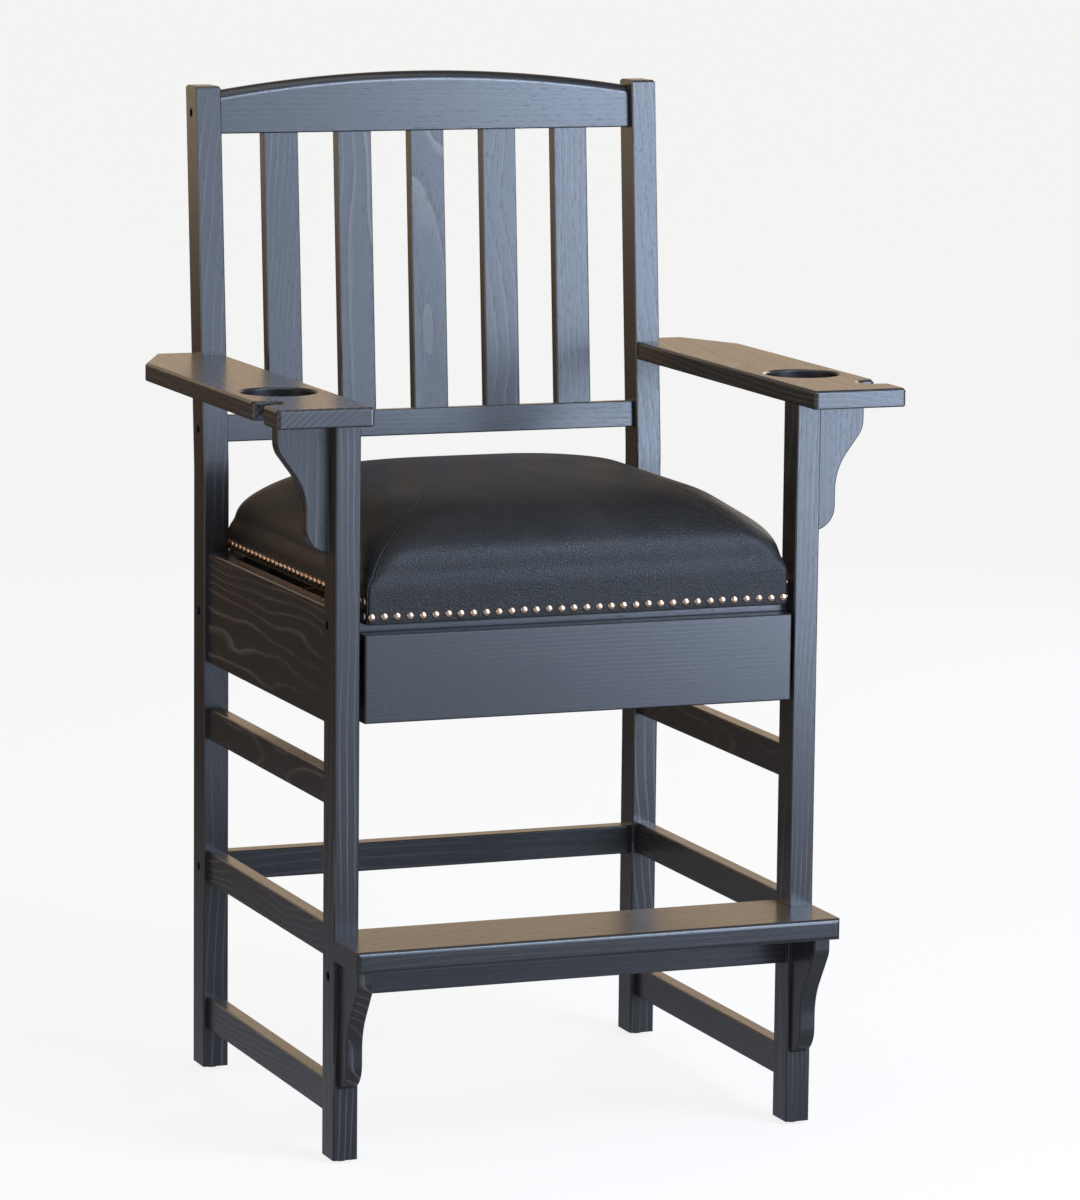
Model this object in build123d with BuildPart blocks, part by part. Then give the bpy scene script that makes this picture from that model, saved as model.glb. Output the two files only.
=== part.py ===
from build123d import *
import math
import os

os.makedirs("parts", exist_ok=True)

# Bar height armchair for watching games: slatted raked back, leather seat with nail trim,
# drawer under the seat, drink recess and cue notch in each arm, footrest.
# X runs across the chair, Y from front to back, Z up. Lengths in millimetres.

# Side frames
leg_span = 600
leg_width = 30
leg_depth = 40
post_width = 32
post_depth = 41
frame_depth = 528
post_height = 1209
bend_rise = 100
rake_degrees = 4.25
bend_radius = 300
post_top_arris = 2.5
arris = 1.5
rail_inset = 6
side_rail_thickness = 18
stretcher_height = 39
lower_stretcher_bottom = 52
middle_stretcher_bottom = 236
upper_stretcher_gap = 56
apron_height = 135.5
seat_rail_top = 645

# Mortise and tenon joints of the side frames
tenon_thickness = 8
tenon_length = 14
tenon_shoulder = 5
apron_tenon_top_shoulder = 35
tenon_gap = 0.2
rail_arris = 1.2

# Cross rails
front_rail_thickness = 19
front_rail_height = 38.5
rear_rail_thickness = 18
rear_stretcher_thickness = 22
rear_stretcher_height = 36
rear_stretcher_bottom = 235
front_stretcher_thickness = 18
front_stretcher_height = 45
front_stretcher_setback = 12

# Back, measured along the raked posts from the bend
back_rail_thickness = 22
lower_rail_rise = 34.5
lower_rail_height = 32.5
crest_drop = 5.3
crest_end_height = 52
crest_arch = 19
crest_round = 11
crest_back_round = 4
slat_count = 5
slat_width = 44.5
slat_thickness = 17
slat_pitch = 94.5
slat_tenon_thickness = 9
slat_tenon_length = 10
slat_shoulder = 4
slat_arris = 1.5

# Knock-down bolts, their cross-dowel nuts and the locating dowels
bolt_diameter = 6
bolt_head_diameter = 10
bolt_head_height = 6
hex_key = 5
hex_depth = 3
bolt_recess_diameter = 11
bolt_recess_depth = 10
bolt_gap = 0.3
bolt_tail = 8
nut_diameter = 10
nut_length = 14
nut_setback = 28
nut_gap = 0.2
dowel_diameter = 6
dowel_depth = 9
dowel_gap = 0.15
dowel_end_gap = 0.5
rear_rail_bolt_rise = 61
rear_rail_dowel_spacing = 80
wide_dowel_spacing = 26
narrow_dowel_spacing = 21

# Arms
arm_rise = 240
arm_thickness = 22
arm_width = 117
arm_overhang = 48
arm_corner = 5
arm_top_arris = 2.5
arm_under_arris = 1.5
arm_clip_width = 42
arm_clip_length = 91
cup_diameter = 89
cup_depth = 14
cup_setback = 122
cup_rim_arris = 2
notch_width = 34
notch_depth = 30
notch_setback = 22
notch_lip_round = 8
arm_fit = 0.3
peg_diameter = 8
peg_depth = 12
leg_peg_shares = (1 / 4, 3 / 4)

# Shaped brackets under the arms
arm_bracket_thickness = 20
arm_bracket_reach = 64
arm_bracket_drop = 152
arm_bracket_lip = 33
arm_bracket_waist = 29
arm_bracket_knee = 80
arm_bracket_toe = 28
arm_bracket_lip_round = 30
arm_bracket_knee_round = 75
arm_bracket_peg_drops = (38, 118)

# Footrest
footrest_underside = 240.5
footrest_overhang = 82
footrest_thickness = 25.5
footrest_round = 5
footrest_back_lap = 2
footrest_fit = 0.3
foot_bracket_thickness = 20
foot_bracket_inset = 6
foot_bracket_reach = 65.5
foot_bracket_drop = 151.5
foot_bracket_lip = 20
foot_bracket_waist = 27
foot_bracket_knee = 80
foot_bracket_toe = 33
foot_bracket_lip_round = 20
foot_bracket_knee_round = 75
foot_bracket_peg_drops = (40, 122)
bracket_arris = 1.5
footrest_screw_diameter = 4.5
footrest_screw_length = 58
footrest_screw_inset = 70

# Seat
seat_post_gap = 8
seat_board_thickness = 18
seat_front_setback = 3.3
seat_rear_lap = 12.8
seat_lip_drop = 16
seat_lip_gap = 0.5
leather_thickness = 2
leather_gap = 0.3
leather_hem = 1
seat_corner_radius = 4
drawn_height = 24
bulge = 3.5
shoulder_height = 42
crown_height = 131
shoulder_round = 24
crown_round = 90
block_leg = 60
block_height = 26
block_nose = 12
seat_screw_diameter = 4.5
seat_screw_length = 36
seat_screw_inset = 28

# Nail trim
nail_diameter = 9.5
nail_height = 2.6
nail_sides = 6
nail_pitch = 15.5
nail_rise = 9
corner_nail_setback = 9

# Drawer
drawer_gap = 5
drawer_proud = 4
drawer_front_thickness = 20
drawer_front_drop = 27.5
drawer_front_height = 102.5
drawer_front_arris = 1.5
drawer_leg_clearance = 8
drawer_side_thickness = 12
drawer_side_height = 80
drawer_rear_clearance = 51
drawer_lift = 10
drawer_rabbet = 6
drawer_bottom_thickness = 5
drawer_bottom_rise = 8
drawer_groove_depth = 5
drawer_fit = 0.2
runner_height = 12
runner_rise = 34
runner_gap = 0.5
runner_groove_depth = 6
runner_leg_clearance = 2
runner_end_gap = 3
runner_screw_inset = 30.5
runner_screw_diameter = 4
runner_screw_length = 30
drawer_screw_diameter = 4
drawer_screw_length = 26
drawer_screw_inset = 70
drawer_screw_rows = 40

# Screws and glides
fastener_sides = 6
bolt_head_sides = 12
screw_head_share = 1.9
screw_head_height = 2.5
screw_gap = 0.2
glide_diameter = 16
glide_height = 4
glide_stem_diameter = 3
glide_stem_length = 14
overrun = 5

# Places worked out from the sizes above
rake = math.radians(rake_degrees)
arm_top = seat_rail_top + arm_rise
arm_bottom = arm_top - arm_thickness
arm_middle = arm_top - arm_thickness / 2
bend_height = seat_rail_top + bend_rise
post_lean = (post_height - bend_height) * math.tan(rake)
overall_depth = footrest_overhang + frame_depth + post_lean
leg_front = footrest_overhang - overall_depth / 2
leg_back = leg_front + leg_depth
leg_middle_y = leg_front + leg_depth / 2
post_back = leg_front + frame_depth
post_front = post_back - post_depth
post_middle = post_front + post_depth / 2
leg_outer = leg_span / 2
leg_inner = leg_outer - leg_width
leg_middle_x = leg_outer - leg_width / 2
post_inner = leg_outer - post_width
post_middle_x = leg_outer - post_width / 2
side_rail_outer = leg_outer - rail_inset
side_rail_inner = side_rail_outer - side_rail_thickness
side_rail_middle = side_rail_outer - side_rail_thickness / 2
apron_bottom = seat_rail_top - apron_height
upper_stretcher_bottom = apron_bottom - upper_stretcher_gap - stretcher_height
front_stretcher_bottom = footrest_underside - front_stretcher_height
footrest_top = footrest_underside + footrest_thickness
seat_board_top = seat_rail_top + seat_board_thickness
front_rail_front = leg_back - front_rail_thickness
rear_rail_front = post_middle - rear_rail_thickness / 2
rear_rail_bolt_height = apron_bottom + rear_rail_bolt_rise
seat_front = leg_front + seat_front_setback
seat_back = rear_rail_front + seat_rear_lap
seat_half_width = post_inner - seat_post_gap
seat_half_length = (seat_back - seat_front) / 2
seat_middle_y = (seat_front + seat_back) / 2
back_facing = (0, -math.cos(rake), math.sin(rake))
joint_plane = Plane(origin=(0, post_front, bend_height), x_dir=(1, 0, 0), z_dir=back_facing)
back_setback = (post_depth * math.cos(rake) - back_rail_thickness) / 2
crest_shoulder = (post_height - bend_height) / math.cos(rake) - crest_drop
crest_rise = crest_shoulder - crest_end_height
crest_middle = crest_rise + crest_end_height / 2
lower_rail_middle = lower_rail_rise + lower_rail_height / 2
back_core = back_setback + back_rail_thickness / 2
drawer_front_half = leg_inner - drawer_gap
drawer_face = leg_front - drawer_proud
drawer_front_back = drawer_face + drawer_front_thickness
drawer_front_top = seat_rail_top - drawer_front_drop
drawer_front_bottom = drawer_front_top - drawer_front_height
box_outer = leg_inner - drawer_leg_clearance
box_inner = box_outer - drawer_side_thickness
box_rabbet = box_inner + drawer_rabbet
box_low = drawer_front_bottom + drawer_lift
box_high = box_low + drawer_side_height
box_front_back = drawer_front_back + drawer_side_thickness
box_back = post_front - drawer_rear_clearance
box_back_front = box_back - drawer_side_thickness
panel_low = box_low + drawer_bottom_rise
panel_high = panel_low + drawer_bottom_thickness
panel_groove = (panel_low - drawer_fit, panel_high + drawer_fit)
runner_low = box_low + runner_rise
runner_high = runner_low + runner_height
runner_groove = (runner_low - runner_gap, runner_high + runner_gap)
runner_inner = box_outer - runner_groove_depth + runner_gap
groove_front = leg_back + runner_leg_clearance
runner_front = groove_front + 2 * runner_gap
runner_back = post_front - runner_end_gap
runner_middle = (runner_front + runner_back) / 2
runner_screw_ys = (runner_front + runner_screw_inset, runner_middle, runner_back - runner_screw_inset)
runner_screw_height = (runner_low + runner_high) / 2


def on_back(rise, depth):
    """A point in the middle plane, so far up the raked back and so far behind its front face."""
    return joint_plane.from_local_coords(Vector(0, rise, -depth))


# Each cross rail joint: a point of the rail's centre line, the way up the rail and its dowel spacing
raked_up = Vector(0, math.sin(rake), math.cos(rake))
straight_up = Vector(0, 0, 1)
rear_rail_point = Vector(0, post_middle, rear_rail_bolt_height)
rear_stretcher_middle = Vector(0, post_middle, rear_stretcher_bottom + rear_stretcher_height / 2)
post_joints = [
    (on_back(crest_middle, back_core), raked_up, wide_dowel_spacing),
    (on_back(lower_rail_middle, back_core), raked_up, narrow_dowel_spacing),
    (rear_rail_point, straight_up, rear_rail_dowel_spacing),
    (rear_stretcher_middle, straight_up, narrow_dowel_spacing),
]
front_rail_middle = Vector(0, leg_back - front_rail_thickness / 2, seat_rail_top - front_rail_height / 2)
front_stretcher_middle = Vector(
    0,
    leg_front + front_stretcher_setback + front_stretcher_thickness / 2,
    front_stretcher_bottom + front_stretcher_height / 2,
)
leg_joints = [
    (front_rail_middle, straight_up, narrow_dowel_spacing),
    (front_stretcher_middle, straight_up, wide_dowel_spacing),
]


def facing_x(x, point, side=1):
    """A plane at x through the point's Y and Z, looking out along side * X."""
    return Plane(origin=(x, point.Y, point.Z), z_dir=(side, 0, 0))


def dowel_points(joint):
    """The centres of the two locating dowels of a cross rail joint."""
    point, up, spacing = joint
    return [point + up * (spacing / 2), point - up * (spacing / 2)]


def cut_hole(plane, diameter, depth):
    """Cuts a faceted hole of that clear diameter, from a plane along its normal."""
    with BuildSketch(plane) as hole:
        RegularPolygon(diameter / 2, fastener_sides, major_radius=False)
    extrude(hole.sketch, amount=depth, mode=Mode.SUBTRACT)


def cut_along_x(x, point, diameter, start, end):
    """Cuts a faceted hole along X from x + start to x + end."""
    cut_hole(facing_x(x + start, point), diameter, end - start)


def cut_bolt_recess(point):
    """Cuts the recess of a bolt's head into a right-hand upright."""
    with BuildSketch(facing_x(leg_outer - bolt_recess_depth, point)) as recess:
        RegularPolygon(bolt_recess_diameter / 2, bolt_head_sides, major_radius=False)
    extrude(recess.sketch, amount=bolt_recess_depth + overrun, mode=Mode.SUBTRACT)


def cut_upright_joints(joints, inner):
    """Cuts bolt recesses, bolt holes and dowel holes in a right-hand upright."""
    for joint in joints:
        cut_bolt_recess(joint[0])
        bolt_end = leg_outer - bolt_recess_depth - inner + bolt_gap
        cut_along_x(inner, joint[0], bolt_diameter + 2 * bolt_gap, -overrun, bolt_end)
        for point in dowel_points(joint):
            cut_along_x(inner, point, dowel_diameter + 2 * dowel_gap, -overrun, dowel_depth + dowel_end_gap)


def cut_rail_joint(joint, inner, half_thickness):
    """Cuts bolt, dowel and cross-dowel nut holes at both ends of a cross rail."""
    point, up, spacing = joint
    bore = nut_setback + bolt_tail + bolt_gap
    nut_back = nut_length / 2 + nut_gap
    for side in (-1, 1):
        bolt_ends = sorted((-side * bore, side * overrun))
        cut_along_x(side * inner, point, bolt_diameter + 2 * bolt_gap, *bolt_ends)
        dowel_ends = sorted((-side * (dowel_depth + dowel_end_gap), side * overrun))
        for dowel_point in dowel_points(joint):
            cut_along_x(side * inner, dowel_point, dowel_diameter + 2 * dowel_gap, *dowel_ends)
        mouth = nut_plane(joint, side * (inner - nut_setback)).offset(-nut_back)
        cut_hole(mouth, nut_diameter + 2 * nut_gap, nut_back + half_thickness + overrun)


def nut_plane(joint, x):
    """The plane square to a cross-dowel nut, on the bolt's line, looking out of the rail's back."""
    point, up, spacing = joint
    return Plane(origin=(x, point.Y, point.Z), x_dir=(1, 0, 0), z_dir=up.cross(Vector(1, 0, 0)))


def save(part, name):
    """Labels a finished piece and writes it."""
    part.label = name
    export_step(part, f"parts/{name}.step")


def save_pair(part, stem):
    """Writes a right-hand piece and its mirrored left-hand twin."""
    save(part, f"{stem}_right")
    with BuildPart() as twin:
        mirror(part, about=Plane.YZ)
    save(twin.part, f"{stem}_left")


# Screws, pointing along -Z from the flat top of their heads
def screw(diameter, length, gap=0):
    """A countersunk wood screw, or with a gap the hole that takes it."""
    with BuildPart() as shape:
        with BuildSketch():
            RegularPolygon(diameter * screw_head_share / 2 + gap, fastener_sides)
        with BuildSketch(Plane.XY.offset(-screw_head_height)) as neck:
            RegularPolygon(diameter / 2 + gap, fastener_sides)
        loft()
        extrude(neck.sketch, amount=screw_head_height - length - gap)
    return shape.part


def cut_screws(places, diameter, length):
    """Cuts the holes of a set of screws in the part being built."""
    tool = screw(diameter, length, screw_gap)
    for place in places:
        add(place * tool, mode=Mode.SUBTRACT)


def save_group(shape, places, name):
    """Writes copies of one fastener at its places, as separate solids in one piece."""
    with BuildPart() as group:
        add([place * shape for place in places])
    save(group.part, name)


def places_on(x_values, y_values, z_values, facing):
    """Places at every combination of the given coordinates, facing one way."""
    return [
        Plane(origin=(x, y, z), z_dir=facing).location for x in x_values for y in y_values for z in z_values
    ]


runner_screws_right = places_on((runner_inner,), runner_screw_ys, (runner_screw_height,), (-1, 0, 0))
runner_screws_left = places_on((-runner_inner,), runner_screw_ys, (runner_screw_height,), (1, 0, 0))


# Side frames: raked back post, front leg, three stretchers and the seat apron, tenoned together
side_rails = {
    "lower_side_stretcher": (lower_stretcher_bottom, stretcher_height, tenon_shoulder),
    "middle_side_stretcher": (middle_stretcher_bottom, stretcher_height, tenon_shoulder),
    "upper_side_stretcher": (upper_stretcher_bottom, stretcher_height, tenon_shoulder),
    "side_apron": (apron_bottom, apron_height, apron_tenon_top_shoulder),
}


def cut_mortises(face_y, inward):
    """Cuts the four mortises of a side frame into an upright, from its face at face_y."""
    for bottom, height, top_shoulder in side_rails.values():
        tenon_bottom = bottom + tenon_shoulder
        tenon_top = bottom + height - top_shoulder
        mouth = Plane(
            origin=(side_rail_middle, face_y, (tenon_bottom + tenon_top) / 2),
            x_dir=(1, 0, 0),
            z_dir=(0, inward, 0),
        )
        with BuildSketch(mouth.offset(-overrun)) as mortise:
            Rectangle(tenon_thickness + 2 * tenon_gap, tenon_top - tenon_bottom + 2 * tenon_gap)
        extrude(mortise.sketch, amount=overrun + tenon_length + tenon_gap, mode=Mode.SUBTRACT)


def cut_glide_hole(x, y):
    """Cuts the hole for a glide's stem into the foot of an upright."""
    foot = Plane(origin=(x, y, glide_height), z_dir=(0, 0, 1))
    cut_hole(foot, glide_stem_diameter + 2 * screw_gap, glide_stem_length + screw_gap)


arm_peg_point = Vector(0, post_middle + (arm_middle - bend_height) * math.tan(rake), arm_middle)
leg_top_pegs = [leg_front + leg_depth * share for share in leg_peg_shares]
arm_bracket_pegs = [
    Vector(0, leg_back - arm_bracket_thickness / 2, arm_bottom - drop) for drop in arm_bracket_peg_drops
]
foot_bracket_x = leg_outer - foot_bracket_inset - foot_bracket_thickness / 2
foot_bracket_pegs = [
    Vector(foot_bracket_x, leg_front, footrest_underside - drop) for drop in foot_bracket_peg_drops
]


def peg_hole_x(point, start, end):
    """Cuts a peg hole along X between two places."""
    cut_along_x(0, point, peg_diameter + 2 * dowel_gap, start, end)


def peg_hole_y(point, start, end):
    """Cuts a peg hole along Y between two distances from the point."""
    cut_hole(Plane(origin=point, z_dir=(0, 1, 0)).offset(start), peg_diameter + 2 * dowel_gap, end - start)


with BuildPart() as back_post:
    with BuildSketch(Plane.YZ.offset(post_inner)):
        with BuildLine():
            Polyline(
                (post_front, glide_height),
                (post_front, bend_height),
                (post_front + post_lean, post_height),
                (post_back + post_lean, post_height),
                (post_back, bend_height),
                (post_back, glide_height),
                close=True,
            )
        make_face()
        fillet(vertices().group_by(Axis.Y)[1], bend_radius)
    extrude(amount=post_width)
    side_edges = back_post.faces().filter_by(Axis.X).edges()
    chamfer(side_edges.filter_by(lambda edge: edge.length > post_depth), arris)
    chamfer(back_post.faces().sort_by(Axis.Z)[-1].edges(), post_top_arris)
    cut_upright_joints(post_joints, post_inner)
    cut_mortises(post_front, 1)
    peg_hole_x(arm_peg_point, leg_outer - peg_depth, leg_outer + overrun)
    cut_glide_hole(post_inner + post_width / 2, post_middle)
save_pair(back_post.part, "back_post")

with BuildPart() as front_leg:
    with BuildSketch(Plane.XY.offset(glide_height)):
        with Locations((leg_middle_x, leg_middle_y)):
            Rectangle(leg_width, leg_depth)
    extrude(amount=arm_bottom - glide_height)
    chamfer(front_leg.edges().filter_by(Axis.Z), arris)
    cut_upright_joints(leg_joints, leg_inner)
    cut_mortises(leg_back, -1)
    cut_glide_hole(leg_middle_x, leg_middle_y)
    for y in leg_top_pegs:
        floor = Plane(origin=(leg_middle_x, y, arm_bottom - peg_depth), z_dir=(0, 0, 1))
        cut_hole(floor, peg_diameter + 2 * dowel_gap, peg_depth + overrun)
    for point in arm_bracket_pegs:
        peg_hole_x(point, leg_outer - peg_depth, leg_outer + overrun)
    for point in foot_bracket_pegs:
        peg_hole_y(point, -overrun, peg_depth)
save_pair(front_leg.part, "front_leg")

for name, (bottom, height, top_shoulder) in side_rails.items():
    with BuildPart() as side_rail:
        with BuildSketch(Plane.XY.offset(bottom)):
            with Locations((side_rail_middle, (leg_back + post_front) / 2)):
                Rectangle(side_rail_thickness, post_front - leg_back)
        extrude(amount=height)
        chamfer(side_rail.edges().filter_by(Axis.Y), rail_arris)
        with BuildSketch(Plane.XY.offset(bottom + tenon_shoulder)):
            with Locations((side_rail_middle, (leg_back + post_front) / 2)):
                Rectangle(tenon_thickness, post_front - leg_back + 2 * tenon_length)
        extrude(amount=height - tenon_shoulder - top_shoulder)
        if name == "side_apron":
            cut_screws(runner_screws_right, runner_screw_diameter, runner_screw_length)
    save_pair(side_rail.part, name)


# Cross rails, bolted between the side frames
def cross_rail(joint, bolt_share, inner, thickness, height):
    """A straight rail between the uprights, whose bolts stand at a share of its height."""
    point, up, spacing = joint
    bottom = point - up * (height * bolt_share)
    end = Plane(origin=(-inner, bottom.Y, bottom.Z), x_dir=up.cross(Vector(1, 0, 0)), z_dir=(1, 0, 0))
    with BuildPart() as rail:
        with BuildSketch(end):
            Rectangle(thickness, height, align=(Align.CENTER, Align.MIN))
        extrude(amount=2 * inner)
        chamfer(rail.edges().filter_by(Axis.X), rail_arris)
        cut_rail_joint(joint, inner, thickness / 2)
    return rail.part


rise_share = rear_rail_bolt_rise / apron_height
half_share = 1 / 2
rear_seat_rail = cross_rail(post_joints[2], rise_share, post_inner, rear_rail_thickness, apron_height)
save(rear_seat_rail, "rear_seat_rail")
rear_stretcher = cross_rail(
    post_joints[3], half_share, post_inner, rear_stretcher_thickness, rear_stretcher_height
)
save(rear_stretcher, "rear_stretcher")
front_seat_rail = cross_rail(leg_joints[0], half_share, leg_inner, front_rail_thickness, front_rail_height)
save(front_seat_rail, "front_seat_rail")


# Raked back: crest rail with an arched top, five slats and the rail that they stand on
core_plane = joint_plane.offset(-back_core)
back_up = Axis((0, 0, 0), (0, math.sin(rake), math.cos(rake)))
slat_foot = lower_rail_rise + lower_rail_height
slat_places = [slat_pitch * (index - (slat_count - 1) / 2) for index in range(slat_count)]
arch_radius = (post_inner**2 + crest_arch**2) / (2 * crest_arch)


def crest_underside(u):
    """Height of the crest rail's lower arc above the bend, at a distance u from the middle."""
    return crest_rise + crest_arch - arch_radius + math.sqrt(arch_radius**2 - u**2)


def cut_slat_mortise(u, low, high):
    """Cuts a slat's mortise between two heights up the back."""
    with BuildSketch(core_plane) as mortise:
        with Locations((u, (low + high) / 2)):
            Rectangle(slat_width - 2 * slat_shoulder + 2 * tenon_gap, high - low)
    extrude(mortise.sketch, amount=slat_tenon_thickness / 2 + tenon_gap, both=True, mode=Mode.SUBTRACT)


with BuildPart() as crest_rail:
    with BuildSketch(core_plane):
        with BuildLine():
            lower = ThreePointArc(
                (-post_inner, crest_rise),
                (0, crest_rise + crest_arch),
                (post_inner, crest_rise),
            )
            upper = ThreePointArc(
                (post_inner, crest_shoulder),
                (0, crest_shoulder + crest_arch),
                (-post_inner, crest_shoulder),
            )
            Line(lower @ 1, upper @ 0)
            Line(upper @ 1, lower @ 0)
        make_face()
    extrude(amount=back_rail_thickness / 2, both=True)
    chamfer(crest_rail.edges().filter_by(GeomType.CIRCLE).sort_by(back_up)[:2], rail_arris)
    top_edges = crest_rail.faces().sort_by(back_up)[-1].edges().filter_by(GeomType.CIRCLE)
    fillet(top_edges.sort_by(Axis.Y)[-1], crest_back_round)
    top_edges = crest_rail.faces().filter_by(GeomType.CYLINDER).sort_by(back_up)[-1].edges()
    fillet(top_edges.filter_by(GeomType.CIRCLE).sort_by(Axis.Y)[0], crest_round)
    cut_rail_joint(post_joints[0], post_inner, back_rail_thickness / 2)
    for u in slat_places:
        cut_slat_mortise(u, crest_rise - overrun, crest_underside(u) + slat_tenon_length + tenon_gap)
save(crest_rail.part, "crest_rail")

with BuildPart() as lower_back_rail:
    add(cross_rail(post_joints[1], half_share, post_inner, back_rail_thickness, lower_rail_height))
    for u in slat_places:
        cut_slat_mortise(u, slat_foot - slat_tenon_length - tenon_gap, slat_foot + overrun)
save(lower_back_rail.part, "lower_back_rail")

for index, u in enumerate(slat_places):
    left = u - slat_width / 2
    right = u + slat_width / 2
    tenon_top = crest_underside(u) + slat_tenon_length
    tenon_bottom = slat_foot - slat_tenon_length
    with BuildPart() as back_slat:
        with BuildSketch(core_plane):
            with BuildLine():
                Polyline(
                    (left, slat_foot),
                    (right, slat_foot),
                    (right, crest_underside(right)),
                    (left, crest_underside(left)),
                    close=True,
                )
            make_face()
        extrude(amount=slat_thickness / 2, both=True)
        chamfer(back_slat.edges().filter_by(back_up), slat_arris)
        with BuildSketch(core_plane):
            with Locations((u, (tenon_bottom + tenon_top) / 2)):
                Rectangle(slat_width - 2 * slat_shoulder, tenon_top - tenon_bottom)
        extrude(amount=slat_tenon_thickness / 2, both=True)
    save(back_slat.part, f"back_slat_{index + 1}")


# Footrest board on the front stretcher and two shaped brackets
footrest_front = leg_front - footrest_overhang
footrest_end = leg_inner - footrest_fit
footrest_screw_x = leg_inner - footrest_screw_inset
footrest_screw_places = places_on(
    (-footrest_screw_x, 0, footrest_screw_x),
    (front_stretcher_middle.Y,),
    (front_stretcher_bottom,),
    (0, 0, -1),
)

with BuildPart() as front_stretcher:
    add(cross_rail(leg_joints[1], half_share, leg_inner, front_stretcher_thickness, front_stretcher_height))
    cut_screws(footrest_screw_places, footrest_screw_diameter, footrest_screw_length)
save(front_stretcher.part, "front_stretcher")

with BuildPart() as footrest_board:
    with BuildSketch(Plane.XY.offset(footrest_underside)):
        with BuildLine():
            Polyline(
                (0, footrest_front),
                (leg_outer, footrest_front),
                (leg_outer, leg_front - footrest_fit),
                (footrest_end, leg_front - footrest_fit),
                (footrest_end, leg_back + footrest_back_lap),
                (0, leg_back + footrest_back_lap),
            )
            mirror(about=Plane.YZ)
        make_face()
    extrude(amount=footrest_thickness)
    fillet(footrest_board.faces().sort_by(Axis.Y)[0].edges(), footrest_round)
    cut_screws(footrest_screw_places, footrest_screw_diameter, footrest_screw_length)
save(footrest_board.part, "footrest_board")
save_group(screw(footrest_screw_diameter, footrest_screw_length), footrest_screw_places, "footrest_screws")


def bracket_outline(plane, reach, drop, lip, waist, knee, toe, lip_round, knee_round):
    """A square lip, a rounded shoulder, a hollow down to the waist and a round toe."""
    with BuildSketch(plane) as outline:
        with BuildLine():
            Polyline((0, -drop), (0, 0), (reach, 0), (reach, -lip), (waist, -knee), (waist, toe - drop))
            TangentArc((waist, toe - drop), (0, -drop), tangent=(0, -1))
        make_face()
        corners = vertices()
        fillet(corners.sort_by_distance((reach, -lip))[0], lip_round)
        fillet(vertices().sort_by_distance((waist, -knee))[0], knee_round)
    return outline.sketch


with BuildPart() as footrest_bracket:
    side = Plane(
        origin=(leg_outer - foot_bracket_inset, leg_front, footrest_underside),
        x_dir=(0, -1, 0),
        z_dir=(-1, 0, 0),
    )
    extrude(
        bracket_outline(
            side,
            foot_bracket_reach,
            foot_bracket_drop,
            foot_bracket_lip,
            foot_bracket_waist,
            foot_bracket_knee,
            foot_bracket_toe,
            foot_bracket_lip_round,
            foot_bracket_knee_round,
        ),
        amount=foot_bracket_thickness,
    )
    shown = footrest_bracket.faces().filter_by(Axis.X).edges()
    shown = shown.filter_by(lambda edge: edge.center().Y < leg_front - bracket_arris)
    shown = shown.filter_by(lambda edge: edge.center().Z < footrest_underside - bracket_arris)
    chamfer(shown, bracket_arris)
    for point in foot_bracket_pegs:
        peg_hole_y(point, -peg_depth, overrun)
save_pair(footrest_bracket.part, "footrest_bracket")


# Arms with a drink recess and a cue notch, cut round the posts and pegged to legs and posts
arm_outer = leg_inner + arm_width
arm_front = leg_front - arm_overhang
arm_back = post_back + (arm_middle - bend_height) * math.tan(rake)
cup_middle = (leg_inner + arm_width / 2, leg_front + cup_setback)
notch_middle = (arm_outer, leg_front + notch_setback)
notch_round = notch_width / 2
post_cut_low = arm_bottom - overrun
post_cut_high = arm_top + overrun


def post_cut_front(z):
    """Y of the post's front face at a height, less the arm's fit."""
    return post_front + (z - bend_height) * math.tan(rake) - arm_fit / math.cos(rake)


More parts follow.
